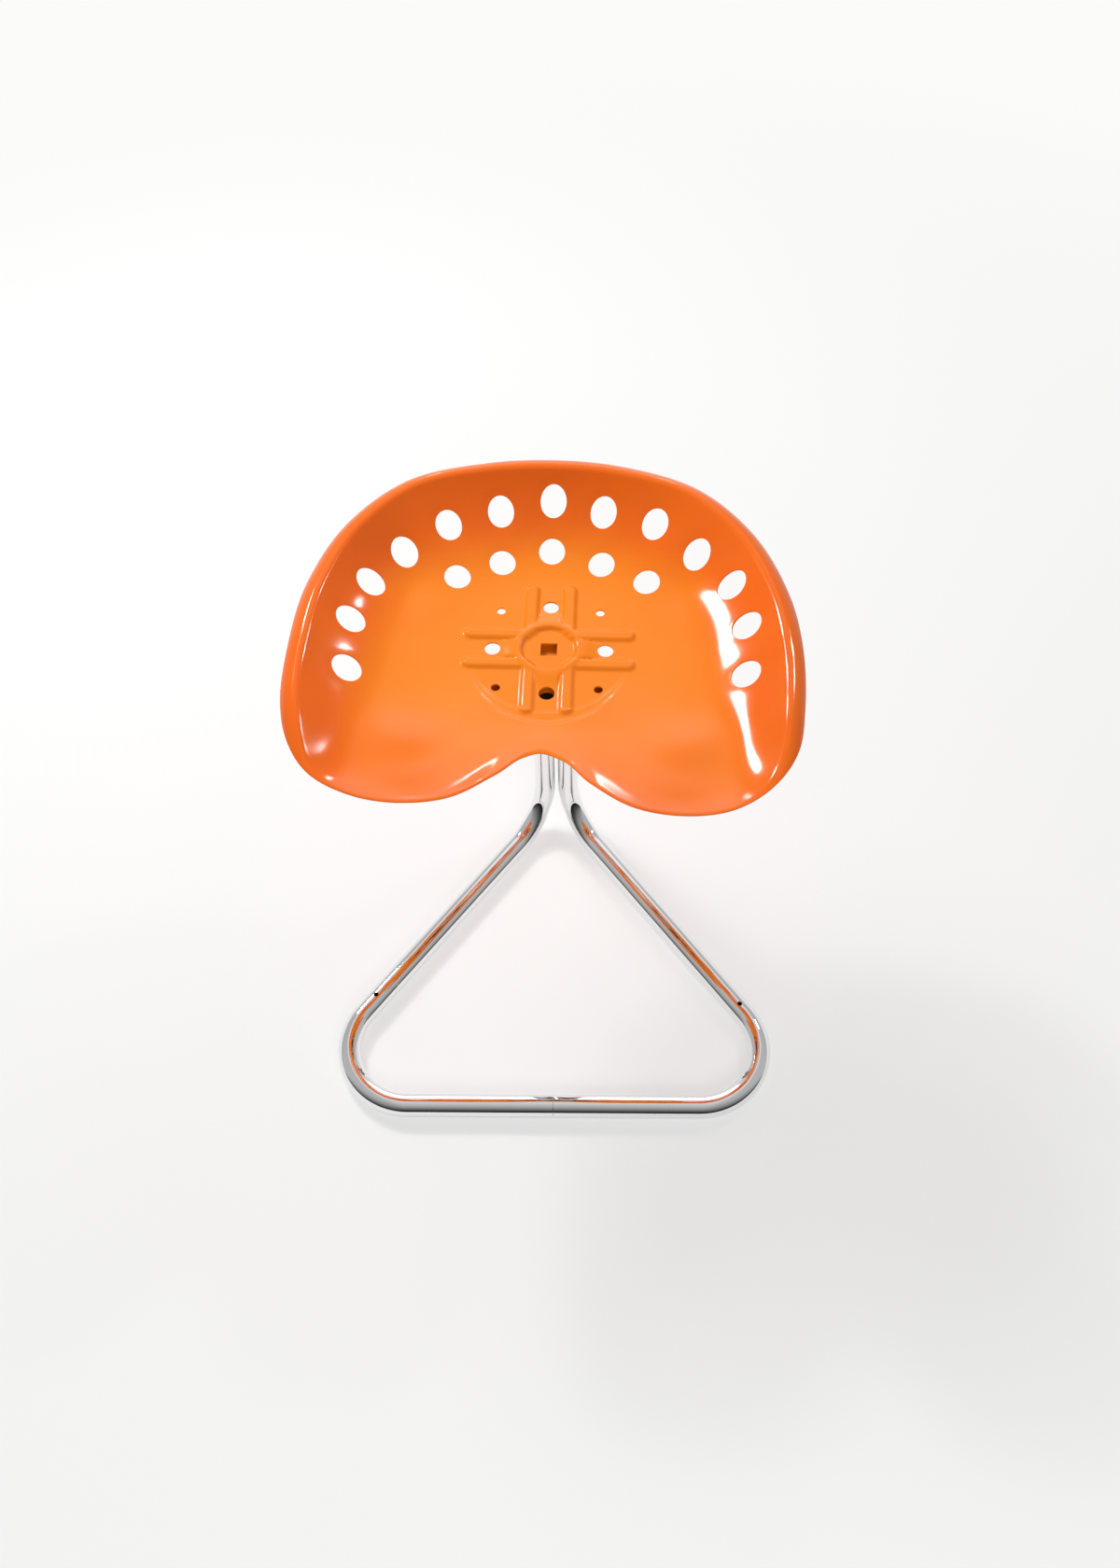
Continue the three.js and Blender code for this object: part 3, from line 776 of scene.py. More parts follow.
    def section(self, angle: Array) -> dict[str, Array]:
        """The pan's section from the hub outwards, in each direction.

        Args:
            angle: Directions, measured from the back towards the right.

        Returns:
            The bowl's foot and edge, its step, rise and slope at the edge, and the radii and turns of
            the crest and of the lip outside it.
        """
        reach = self.reach(angle)
        away = np.abs(angle)
        fade = smooth(away, *self.lip_fade)
        crest = mix(self.crest_radius, self.front_crest_radius, fade)
        bend = mix(self.crest_turn, self.front_crest_turn, fade)
        radius = mix(self.lip_radius, self.front_lip_radius, fade)
        turn = mix(self.lip_turn, self.front_lip_turn, fade)
        front = smooth(away, self.step_fade_start, math.pi)
        step = self.step_rise * front
        foot = self.disc_radius + mix(self.side_step_reach, self.step_reach, front)
        back = mix(self.back_rise, self.side_rise, smooth(away, 0, self.side_angle))
        rise = mix(back, self.front_rise, smooth(away, self.side_angle, self.front_angle)) - step
        rise = rise + self.pommel_rise * smooth(away, *self.pommel)
        power = mix(self.bowl_power, self.front_power, smooth(away, *self.front_shape))
        slope = np.zeros_like(reach)
        for _ in range(12):
            inner = crest * (np.sin(slope) + np.sin(bend))
            edge = reach - inner - radius * (np.sin(turn) - np.sin(bend))
            slope = np.arctan(power * rise / (edge - foot))
        return {"reach": reach, "foot": foot, "edge": edge, "step": step, "rise": rise, "power": power,
                "slope": slope, "crest": crest, "bend": bend, "inner": inner, "radius": radius, "turn": turn}

    def bowl(self, flat: Array) -> Array:
        """The pan without its hub pressings: heights over a flat layout, measured from the hub."""
        angle = np.arctan2(flat[:, 0], flat[:, 1])
        out = np.hypot(flat[:, 0], flat[:, 1])
        s = self.section(angle)
        share = np.clip((out - s["foot"]) / (s["edge"] - s["foot"]), 0, 1)
        climb = (out - self.disc_radius) / (s["foot"] - self.disc_radius)
        height = s["step"] * self._step_profile(climb) + s["rise"] * share ** s["power"]
        past = out - s["edge"]
        here = np.arcsin(np.clip(np.sin(s["slope"]) - past / s["crest"], -1, 1))
        top = s["step"] + s["rise"] + s["crest"] * (np.cos(np.maximum(here, -s["bend"])) - np.cos(s["slope"]))
        there = np.arcsin(np.clip((past - s["inner"]) / s["radius"] + np.sin(s["bend"]), -1, 1))
        lip = top - s["radius"] * (np.cos(s["bend"]) - np.cos(np.maximum(there, s["bend"])))
        height = np.where(past > 0, lip, height)
        height = height + self._crease(out) + self._knocks(angle, out / s["reach"])
        return np.column_stack([flat, height])

    def _step_profile(self, climb: Array) -> Array:
        """The wall in front of the disc: two soft rises, one behind the other."""
        return 0.5 * smooth(climb, -0.04, 0.20) + 0.5 * smooth(climb, 0.74, 1.0)

    def _crease(self, out: Array) -> Array:
        """The faint line where the flat disc meets the bowl."""
        past = np.maximum(out - self.disc_radius, 0)
        length = 0.012
        return 0.05 * past * np.exp(-past / length)

    def _knocks(self, angle: Array, share: Array) -> Array:
        """The pressing's swells and the rim's small dents."""
        total = np.zeros_like(angle)
        knocks = list(self.dents)
        for swell in self.swells:
            for away, out, rise in swell.places:
                knocks += [Dent(side * away, out, swell.width, rise * MM, swell.spread) for side in (-1, 1)]
        for dent in knocks:
            off = (np.degrees(angle) - dent.angle + 180) % 360 - 180
            total += dent.depth * np.exp(-((off / dent.width) ** 2 + ((share - dent.out) / dent.spread) ** 2))
        return total

    def _collars(self, flat: Array) -> Array:
        """How far the punch drew the sheet down round the air holes."""
        deepest = np.zeros(len(flat))
        for share in self.air_hole_shares:
            away = np.hypot(*(flat - self.place(share)).T) - self.air_hole_radius
            deepest = np.maximum(deepest, np.exp(-(np.maximum(away, 0) / self.collar_width) ** 2))
        return self.collar_depth * deepest

    def relief(self, flat: Array) -> Array:
        """Heights of the hub's ribs and boss over a flat layout."""
        x, y = flat[:, 0], flat[:, 1]
        ribs, channel = np.zeros(len(flat)), np.zeros(len(flat))
        arms = ((x, y, self.rib_end), (y, -x, self.rib_end), (-x, -y, self.rib_end), (-y, x, self.front_rib_end))
        for along, across, end in arms:
            narrow = 1 - smooth(np.abs(across), 0.009, 0.014)
            channel = np.maximum(channel, narrow * smooth(along, 0, self.boss_floor_radius))
            middle = np.clip(along, self.rib_start, end - self.rib_base / 2)
            for side in (-1, 1):
                away = np.hypot(along - middle, across - side * self.rib_offset)
                ribs = np.maximum(ribs, 1 - smooth(away, self.rib_top / 2, self.rib_base / 2))
        out = np.hypot(x, y)
        crest_in, crest_out = self.boss_crest
        foot = mix(self.boss_foot, self.channel_foot, channel)
        outer = 1 - smooth((out - crest_out) / (foot - crest_out), 0, 1)
        boss = np.where(out < crest_in, smooth(out, self.boss_floor_radius, crest_in), outer)
        sharpness = 4
        ribs, boss = ribs * self.rib_rise, boss * self.boss_rise
        return ((ribs / MM) ** sharpness + (boss / MM) ** sharpness) ** (1 / sharpness) * MM

    def surface(self, flat: Array) -> Array:
        """The pan's upper side over a flat layout."""
        points = self.bowl(flat)
        points[:, 2] += self.relief(flat) - self._collars(flat)
        return points

    def hole_loops(self) -> list[tuple[Array, Array]]:
        """Each hole's edge and the rings of points round it."""
        loops = []

        def oval(centre: Array, radius: float, stretch: float, sides: int) -> None:
            scale = np.array([1, stretch])
            first = radius + self.edge_round
            edge, *rings = (ring(first + more, sides) * scale + centre for more in (0, 0.0005, 0.0016))
            loops.append((edge, np.vstack(rings)))

        for share in self.air_hole_shares:
            centre = self.place(share)
            out = np.linalg.norm(centre)
            stretch = 1 + self.side_hole_stretch * smooth(out, self.disc_radius, self.back_reach) * (
                centre[0] / out) ** 2
            oval(centre, self.air_hole_radius, stretch, 52)
        for turn in range(4):
            spin = np.array(Matrix.Rotation(turn * math.pi / 2, 2))
            oval(spin @ np.array([self.mount_hole_reach, 0]), self.mount_hole_radius, 1, 44)
            oval(spin @ np.array([self.small_hole_reach] * 2), self.small_hole_radius, 1, 32)
        loops.append(self._square_loops())
        return loops

    def _square_loops(self) -> tuple[Array, Array]:
        """The square hole's edge and the rings of points round it."""
        half = self.square_hole / 2
        corners = [(half, -half), (half, half), (-half, half), (-half, -half)]
        rings = []
        for more in (0, 0.0005, 0.0016):
            outline = filleted(corners, self.square_corner, -self.edge_round - more)
            ahead = np.roll(outline, -1, axis=0)
            steps = np.linspace(0, 1, 9)[:-1, None]
            parts = []
            for here, there in zip(outline, ahead):
                long = np.linalg.norm(there - here) > half
                parts.append(here + (there - here) * steps if long else here[None])
            rings.append(np.vstack(parts))
        return rings[0], np.vstack(rings[1:])

    def lattice(self, spacing: float, keep: Callable[[Array], Array]) -> Array:
        """Points of a triangular lattice over the pan, where they are kept."""
        row = spacing * math.sqrt(3) / 2
        limit = self.half_width
        grid = [
            (i * spacing + (j % 2) * spacing / 2, j * row)
            for j in range(-int(limit / row), int(limit / row) + 1)
            for i in range(-int(limit / spacing), int(limit / spacing) + 1)
        ]
        points = np.array(grid)
        return points[keep(points)]

    def mesher(self) -> SheetMesher:
        """Lays out the whole pan: its outline, the lip's rings, the holes and the lattices."""
        dense = self._outline()
        lengths = np.concatenate([[0], np.cumsum(np.linalg.norm(np.diff(dense, axis=0, append=dense[:1]), axis=1))])
        wanted = np.arange(self.stations) * lengths[-1] / self.stations
        closed = np.vstack([dense, dense[:1]])
        path = np.column_stack([np.interp(wanted, lengths, closed[:, k]) for k in range(2)])
        angle = np.arctan2(path[:, 0], path[:, 1])
        s = self.section(angle)
        towards = np.column_stack([np.sin(angle), np.cos(angle)])
        rings = []
        for share in np.linspace(0, 1, self.crest_rings + 1):
            here = mix(s["slope"], -s["bend"], share)
            out = s["edge"] + s["crest"] * (np.sin(s["slope"]) - np.sin(here))
            rings.append(towards * out[:, None])
        for share in np.linspace(0, 1, self.lip_rings + 1)[1:]:
            here = mix(s["bend"], s["turn"], share)
            out = s["edge"] + s["inner"] + s["radius"] * (np.sin(here) - np.sin(s["bend"]))
            rings.append(towards * out[:, None])
        holes = self.hole_loops()
        centres = [(edge.mean(axis=0), np.abs(edge - edge.mean(axis=0)).max(axis=0)) for edge, _ in holes]
        disc = self.disc_radius + self.side_step_reach + self.step_reach / 2

        def clear(points: Array, spacing: float) -> Array:
            free = np.ones(len(points), bool)
            for centre, (wide, high) in centres:
                margin = 0.0016 + spacing * 0.55
                free &= np.hypot(*((points - centre) / (wide + margin, high + margin)).T) > 1
            return free

        def in_hub(points: Array) -> Array:
            return (np.hypot(*points.T) < disc) & clear(points, self.hub_spacing)

        def in_bowl(points: Array) -> Array:
            out = np.hypot(*points.T)
            edge = self.section(np.arctan2(points[:, 0], points[:, 1]))["edge"]
            inner = disc + self.bowl_spacing * 0.5
            return (out > inner) & (out < edge - self.bowl_spacing * 0.5) & clear(points, self.bowl_spacing)

        between = np.vstack([
            *rings[:-1], *(more for _, more in holes),
            self.lattice(self.hub_spacing, in_hub), self.lattice(self.bowl_spacing, in_bowl),
        ])
        outline = rings[-1]
        if np.cross(outline, np.roll(outline, -1, axis=0)).sum() < 0:
            outline = outline[::-1]
        return SheetMesher(outline, [edge for edge, _ in holes], between)

    def build(self) -> bpy.types.Object:
        """Builds the pan."""
        maker = MeshMaker()
        self.mesher().mesh(maker, self.surface, self.sheet, self.edge_round, self.bowl, self.layout.from_hub)
        return mount(maker.piece("seat_pan_pressed"), Finish.ENAMEL, "seat_pan")


@dataclass
class TubeFrame:
    """Both bent tubes of the frame, with the seam, the vent holes and the ground patch at the seam."""

    layout: Layout
    radius: float = 0.0125
    wall: float = 0.0018
    half_spacing: float = 0.0138
    corner_bend: float = 0.0695
    column_bend: float = 0.0625
    vertex_half_span: float = 0.294
    leg_angle: float = math.radians(53.9)
    column_lean: float = math.radians(6)
    seam_gap: float = 0.0006
    vent_radius: float = 0.0026
    vent_reach: dict = field(default_factory=lambda: {-1: 0.021, 1: 0.010})
    run_front: float = 0.076
    run_back: float = 0.1072
    run_height: float = 0.37336
    sides: int = 72
    step: float = 0.0025
    bend_steps: int = 48

    def route(self, side: int) -> tuple[list[Vector], Vector]:
        """The centreline of one tube, and the place of its vent.

        Args:
            side: -1 for the left tube and 1 for the right one.

        Returns:
            Points of the centreline from the seam to the end under the hub, and the vent's place.
        """
        seam = self.layout.seam
        leg_reach = (self.vertex_half_span - self.half_spacing) * math.tan(self.leg_angle)
        across = side * self.half_spacing
        run = self.layout.from_hub(np.array([
            (across, self.run_back, self.run_height), (across, -self.run_front, self.run_height)]), True)
        corners = [
            seam + Vector((side * self.seam_gap / 2, 0, 0)),
            seam + Vector((side * self.vertex_half_span, 0, 0)),
            seam + Vector((across, leg_reach, 0)),
            Vector(run[0]),
            Vector(run[1]),
        ]
        points, bend_ends = [corners[0]], []
        for i, radius in enumerate((self.corner_bend, self.column_bend, self.column_bend), 1):
            incoming = (corners[i] - corners[i - 1]).normalized()
            outgoing = (corners[i + 1] - corners[i]).normalized()
            turn = incoming.angle(outgoing)
            inward = (outgoing - incoming * incoming.dot(outgoing)).normalized()
            centre = corners[i] - incoming * radius * math.tan(turn / 2) + inward * radius
            for step in range(self.bend_steps + 1):
                angle = turn * step / self.bend_steps
                points.append(centre - inward * radius * math.cos(angle) + incoming * radius * math.sin(angle))
            bend_ends.append((points[-1], outgoing))
        points.append(corners[-1])
        place, direction = bend_ends[0]
        return points, place + direction * self.vent_reach[side]

    def sweep(self, name: str, points: list[Vector]) -> bpy.types.Mesh:
        """Sweeps the tube's outer and inner wall along a route with Geometry Nodes."""
        tree = NodeSweep("bent_tube")
        outer = tree.size("Outer Radius", self.radius)
        inner = tree.size("Inner Radius", self.radius - self.wall)
        sides = tree.size("Sides", self.sides, "NodeSocketInt")
        step = tree.size("Step", self.step)
        line = tree.node("GeometryNodeMeshToCurve", {0: tree.start})
        line = tree.node("GeometryNodeResampleCurve", {"Curve": line, "Length": step}, mode="LENGTH")
        walls = []
        for radius in (outer, inner):
            circle = tree.node("GeometryNodeCurvePrimitiveCircle", {"Resolution": sides, "Radius": radius})
            walls.append(tree.node("GeometryNodeCurveToMesh", {"Curve": line, "Profile Curve": circle}))
        flipped = tree.node("GeometryNodeFlipFaces", {0: walls[1]})
        return tree.run(tree.joined(walls[0], flipped), point_mesh(name, points, True), Finish.CHROME)

    def close_ends(self, mesh: bpy.types.Mesh) -> None:
        """Joins the outer wall to the inner one at both ends."""
        work = bmesh.new()
        work.from_mesh(mesh)
        open_edges = [edge for edge in work.edges if edge.is_boundary]
        middle = sum((vert.co for edge in open_edges for vert in edge.verts), Vector()) / (2 * len(open_edges))
        first = open_edges[0].verts[0].co
        near = [e for e in open_edges if (e.verts[0].co - first).length < (e.verts[0].co - middle).length]
        for edges in (near, [edge for edge in open_edges if edge not in near]):
            bmesh.ops.bridge_loops(work, edges=edges)
        bmesh.ops.recalc_face_normals(work, faces=work.faces)
        work.to_mesh(mesh)
        work.free()

    def drill(self, piece: bpy.types.Object, place: Vector) -> None:
        """Cuts the vent through the tube's upper wall."""
        bit = MeshMaker()
        levels = (place.z + self.radius / 2, place.z + self.radius * 2)
        low, high = (
            bit.add(np.column_stack([ring(self.vent_radius, 32, place[:2]), np.full(32, level)])) for level in levels
        )
        bit.band(low, high)
        bit.fan(low, (place.x, place.y, levels[0]), False)
        bit.fan(high, (place.x, place.y, levels[1]), True)
        cutter = bit.piece("vent_drill")
        modifier = piece.modifiers.new("vent", "BOOLEAN")
        modifier.object = cutter
        modifier.operation = "DIFFERENCE"
        modifier.solver = "EXACT"
        cut = bpy.data.meshes.new_from_object(piece.evaluated_get(bpy.context.evaluated_depsgraph_get()))
        piece.modifiers.clear()
        piece.data = cut
        cut.shade_smooth()
        cut.set_sharp_from_angle(angle=math.radians(30))
        bpy.data.objects.remove(cutter)

    def grind_seam(self, mesh: bpy.types.Mesh) -> None:
        """Sinks the shallow ground patches on the upper back of the front bar beside the seam."""
        points = np.empty(len(mesh.vertices) * 3)
        mesh.vertices.foreach_get("co", points)
        points = points.reshape(-1, 3)
        off = points - np.array(self.layout.seam)
        lean = np.arctan2(off[:, 1], off[:, 2])
        out = np.hypot(off[:, 1], off[:, 2])
        patches = ((-0.0135, 0.0085, 0.00028), (0.0175, 0.0125, 0.00030))
        sink = np.zeros(len(points))
        for middle, length, depth in patches:
            sink += depth * np.exp(-(((off[:, 0] - middle) / length) ** 2 + ((lean - 0.62) / 0.22) ** 2))
        sink = np.where((out < self.radius * 1.2) & (out > self.radius * 0.95), sink, 0)
        points[:, 1] -= sink * off[:, 1] / np.maximum(out, 1e-6)
        points[:, 2] -= sink * off[:, 2] / np.maximum(out, 1e-6)
        mesh.vertices.foreach_set("co", points.ravel())
        mesh.update()

    def build(self) -> None:
        """Builds both tubes and dresses the sleeve that joins them."""
        for side, word in ((-1, "left"), (1, "right")):
            points, vent = self.route(side)
            mesh = self.sweep(f"frame_tube_{word}_bent", points)
            self.close_ends(mesh)
            self.grind_seam(mesh)
            piece = placed(f"frame_tube_{word}_bent", mesh, 30)
            self.drill(piece, vent)
            mount(piece, Finish.CHROME, f"frame_tube_{word}")
        Finish.ZINC.dress(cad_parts["joint_sleeve"])
        LOG.info("joint_sleeve keeps its packed shape")


@dataclass
class HubMount:
    """What holds the pan on the tubes: tray, pad, clamps, fasteners and the tubes' end plugs."""

    layout: Layout
    tray_depth: float = 0.008
    tray_floor: float = 0.0025
    tray_wall: float = 0.0028
    pad: float = 0.003
    fit: float = 0.0003
    half_width: float = 0.062
    front: float = 0.072
    waist: float = 0.024
    back: float = 0.026
    tube_radius: float = 0.0125
    tube_half_spacing: float = 0.0138
    run_height: float = 0.37336
    run_front: float = 0.076
    clamp_plate: float = 0.003
    clamp_slack: float = 0.003
    clamps: tuple = (("front", -0.046, 0.040), ("rear", 0.009, 0.030))
    bolt_radius: float = 0.003
    bolt_head_radius: float = 0.00577
    bolt_head_height: float = 0.004
    bolt_clearance: float = 0.0004
    bolt_tip: float = 0.003
    bolt_edge: float = 0.008
    washer_radius: float = 0.006
    washer_thickness: float = 0.0016
    spring_washer_radius: float = 0.0055
    spring_washer_thickness: float = 0.0015
    stack: float = 0.0001
    front_hole_reach: float = 0.056
    front_hole_radius: float = 0.0088
    plug_head: float = 0.003
    plug_shank: float = 0.014
    bore_radius: float = 0.0100

    @property
    def tray_top(self) -> float:
        """Height of the tray's rim above the floor."""
        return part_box("seat_carrier")[1].z

    @property
    def bolt_reach(self) -> float:
        """From the middle line to a bolt's axis."""
        low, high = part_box("clamp_bolt_rear_right")
        middle = (low + high) / 2
        return math.hypot(middle.x - self.layout.hub.x, middle.y - self.layout.hub.y) * math.cos(
            math.atan2(self.clamps[1][1], self.bolt_edge * 4.5))

    def bolts(self) -> list[tuple[float, float]]:
        """Places of the four bolts, measured from the hub."""
        places = []
        for name, middle, _ in self.clamps:
            for side, sign in (("left", -1), ("right", 1)):
                low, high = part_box(f"clamp_bolt_{name}_{side}")
                off = (low + high) / 2 - self.layout.hub
                cos, sin = math.cos(self.layout.turn), math.sin(self.layout.turn)
                places.append((off.x * cos + off.y * sin, -off.x * sin + off.y * cos))
        return places

    def outline(self, inset: float) -> Array:
        """The T-shaped outline of tray and pad, moved inwards."""
        tongue = abs(self.bolts()[0][0]) + self.bolt_edge
        wide = self.half_width
        corners = [
            (-wide, -self.front), (wide, -self.front), (wide, -self.waist), (tongue, -self.waist),
            (tongue, self.back), (-tongue, self.back), (-tongue, -self.waist), (-wide, -self.waist),
        ]
        return filleted(corners, 0.006, inset)

    def _rows(self, maker: MeshMaker, rows: Sequence[tuple[Array, float]]) -> list[Array]:
        """Adds level loops at heights above the floor and gives their numbers."""
        return [
            maker.add(self.layout.from_hub(np.column_stack([flat, np.full(len(flat), level)]), True))
            for flat, level in rows
        ]

    def _holes(self, maker: MeshMaker, holes: Sequence[tuple[float, float, float]], low: float,
               high: float, rounding: float) -> tuple[list[Array], list[Array]]:
        """Adds the walls of upright holes with rounded edges, and gives their loops below and above."""
        below, above = [], []
        for x, y, radius in holes:
            rows = []
            for turn in np.linspace(0, math.pi / 2, 4):
                rows.append((radius + rounding * (1 - math.sin(turn)), low + rounding * (1 - math.cos(turn))))
            rows += [(out, high - (level - low)) for out, level in rows[::-1]]
            loops = self._rows(maker, [(ring(out, 28, (x, y))[::-1], level) for out, level in rows])
            maker.bands(loops)
            below.append(loops[0])
            above.append(loops[-1])
        return below, above

    def tray(self) -> None:
        """Builds the tray under the hub, with a rounded foot and a sunk floor."""
        maker = MeshMaker()
        top, under = self.tray_top, self.tray_top - self.tray_depth
        bend, edge, inner = 0.0024, 0.0005, 0.0012
        rows = []
        for turn in np.linspace(0, math.pi / 2, 6):
            rows.append((bend * (1 - math.sin(turn)), under + bend * (1 - math.cos(turn))))
        rows += [(0, top - edge), (edge * 0.3, top - edge * 0.3), (edge, top)]
        wall = self.tray_wall
        rows += [(wall - edge, top), (wall - edge * 0.3, top - edge * 0.3), (wall, top - edge)]
        floor = under + self.tray_floor
        for turn in np.linspace(0, math.pi / 2, 4):
            rows.append((wall + inner * (1 - math.cos(turn)), floor + inner * (1 - math.sin(turn))))
        loops = self._rows(maker, [(self.outline(inset), level) for inset, level in rows])
        maker.bands(loops)
        radius = self.bolt_radius + self.bolt_clearance / 2
        holes = [(x, y, radius) for x, y in self.bolts()] + [(0, -self.front_hole_reach, self.front_hole_radius)]
        below, above = self._holes(maker, holes, under, floor, 0.0003)
        maker.fill(loops[0], below, False)
        maker.fill(loops[-1], above, True)
        mount(maker.piece("seat_carrier_tray"), Finish.ENAMEL, "seat_carrier")

    def saddle_pad(self) -> None:
        """Builds the rubber pad between the tray and the tubes."""
        maker = MeshMaker()
        high = self.tray_top - self.tray_depth - self.fit
        low = high - self.pad
        edge = 0.0008
        rows = [(edge * (1 - math.sin(t)), low + edge * (1 - math.cos(t))) for t in np.linspace(0, math.pi / 2, 4)]
        rows += [(inset, high - (level - low)) for inset, level in rows[::-1]]
        loops = self._rows(maker, [(self.outline(inset), level) for inset, level in rows])
        maker.bands(loops)
        radius = self.bolt_radius + self.bolt_clearance
        below, above = self._holes(maker, [(x, y, radius) for x, y in self.bolts()], low, high, 0.0003)
        maker.fill(loops[0], below, False)
        maker.fill(loops[-1], above, True)
        mount(maker.piece("saddle_pad_moulded"), Finish.RUBBER, "saddle_pad")

    def clamp(self, name: str, middle: float, length: float, half_width: float) -> None:
        """Builds one hat-shaped clamp by bending a flat strip.

        Args:
            name: Which clamp it is, front or rear.
            middle: Its middle, measured from the hub towards the back.
            length: Its length along the tubes.
            half_width: From the middle line to the ends of its flanges.
        """
        plate = self.clamp_plate
        flange_top = self.tray_top - self.tray_depth - 2 * self.fit - self.pad + self.fit - self.clamp_slack
        inner = self.tube_half_spacing + self.tube_radius / math.cos(math.pi / 16) + self.fit
        floor_inner = self.run_height - self.tube_radius / math.cos(math.pi / 16) - self.fit
        bend = 0.0012
        # The strip's upper side, from the middle out: floor, bend up round the tube, wall, bend out, flange
        path, angle, here = [(Vector((0, floor_inner)), 0.0)], 0.0, Vector((0, floor_inner))

        def straight(distance: float) -> None:
            nonlocal here
            here = here + Vector((math.cos(angle), math.sin(angle))) * distance
            path.append((here, angle))

        def turned(radius: float, to: float) -> None:
            nonlocal here, angle
            start, steps = angle, 8
            sign = math.copysign(1, to - start)
            centre = here + Vector((-math.sin(start), math.cos(start))) * radius * sign
            for step in range(1, steps + 1):
                angle = start + (to - start) * step / steps
                here = centre - Vector((-math.sin(angle), math.cos(angle))) * radius * sign
                path.append((here, angle))

        round_tube = 0.0062
        straight(inner - round_tube)
        turned(round_tube, math.pi / 2)
        straight(flange_top - floor_inner - round_tube - plate - bend)
        turned(plate + bend, 0)
        straight(half_width - inner - plate - bend)
        points = np.array([point for point, _ in path])
        lengths = np.concatenate([[0], np.cumsum(np.linalg.norm(np.diff(points, axis=0), axis=1))])
        total = lengths[-1]

        def surface(flat: Array) -> Array:
            reach = np.abs(flat[:, 0])
            x = np.interp(reach, lengths, points[:, 0]) + np.maximum(reach - total, 0)
            z = np.interp(reach, lengths, points[:, 1])
            return np.column_stack([np.copysign(x, flat[:, 0]), flat[:, 1], z])

        edge = 0.0005
        half = length / 2 - edge
        reach = total - edge
        corners = [(-reach, middle - half), (reach, middle - half), (reach, middle + half), (-reach, middle + half)]
        outline = filleted(corners, 0.0035)
        bolt = abs(self.bolts()[0][0])
        bolt_at = np.interp(bolt, points[-2:, 0], lengths[-2:])
        holes = [ring(self.bolt_radius + self.bolt_clearance + edge, 28, (s * bolt_at, middle)) for s in (-1, 1)]
        stations = np.concatenate([-lengths[1:-1][::-1], lengths[:-1], [reach - 0.002, 0.002 - reach]])
        lines = np.linspace(middle - half + 0.001, middle + half - 0.001, 13)
        grid = np.array([(u, v) for u in stations for v in lines])
        for sign in (-1, 1):
            grid = grid[np.hypot(grid[:, 0] - sign * bolt_at, grid[:, 1] - middle) > 0.0048]
        ends = np.array([(u, v) for u in stations[np.abs(stations) < reach - 0.004] for v in (middle - half, middle + half)])
        outline = self._with_stations(outline, ends)
        maker = MeshMaker()
        place = lambda points: self.layout.from_hub(points, True)
        SheetMesher(outline, holes, grid).mesh(maker, surface, plate, edge, place=place)
        mount(maker.piece(f"{name}_tube_clamp_bent"), Finish.BLACK_STEEL, f"{name}_tube_clamp")

    @staticmethod
    def _with_stations(outline: Array, stations: Array) -> Array:
        """Adds points to the straight sides of a counterclockwise outline about its middle."""
        middle = (outline.max(axis=0) + outline.min(axis=0)) / 2
        low, high = (np.isclose(stations[:, 1], value) for value in (outline[:, 1].min(), outline[:, 1].max()))
        points = []
        for here, ahead in zip(outline, np.roll(outline, -1, axis=0)):
            points.append(here)
            if np.isclose(here[1], ahead[1]) and abs(here[0] - ahead[0]) > 0.01:
                side = stations[low] if here[1] < middle[1] else stations[high]
                between = side[(side[:, 0] > min(here[0], ahead[0]) + 1e-5) & (side[:, 0] < max(here[0], ahead[0]) - 1e-5)]
                order = np.argsort(between[:, 0])
                if ahead[0] < here[0]:
                    order = order[::-1]
                last = None
                for point in between[order]:
                    if last is None or abs(point[0] - last) > 1e-5:
                        points.append(point)
                        last = point[0]
        return np.array(points)

    def fasteners(self) -> None:
        """Builds bolts, flat washers and spring washers with Geometry Nodes."""
        flange_under = (
            self.tray_top - self.tray_depth - self.fit - self.pad - self.clamp_slack - self.clamp_plate
        )
        washer = flange_under - self.stack - self.washer_thickness / 2
        spring = washer - self.washer_thickness / 2 - self.stack - self.spring_washer_thickness / 2
        head = spring - self.spring_washer_thickness / 2 - self.stack
        tip = self.tray_top - self.tray_depth + self.tray_floor + self.bolt_tip
        self._bolts(head, tip)
        self._washers(washer)
        self._spring_washers(spring)

    def _stations(self, name: str, level: float) -> bpy.types.Mesh:
        """The four bolt places at a level, as loose points."""
        flat = np.array(self.bolts())
        return point_mesh(name, self.layout.from_hub(np.column_stack([flat, np.full(4, level)]), True))

    @staticmethod
    def _names(kind: str) -> list[str]:
        """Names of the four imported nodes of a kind."""
        return [f"{kind}_{place}" for place in ("front_left", "front_right", "rear_left", "rear_right")]

    def _copied(self, tree: NodeSweep, shape: bpy.types.NodeSocket, level: float, name: str,
                kind: str, seed: int) -> None:
        """Sets a shape on the four bolt places, each turned at random, and mounts the result."""
        chance = tree.size("Seed", seed, "NodeSocketInt")
        limits = {"Max": (0, 0, 2 * math.pi), "Seed": chance}
        spin = tree.node("FunctionNodeRandomValue", limits, data_type="FLOAT_VECTOR")
        points = tree.node("GeometryNodeMeshToPoints", {0: tree.start})
        copies = tree.node("GeometryNodeInstanceOnPoints", {"Points": points, "Instance": shape, "Rotation": spin})
        piece = placed(name, tree.run(copies, self._stations(name, level), Finish.ZINC), 35)
        mount(piece, Finish.ZINC, *self._names(kind))

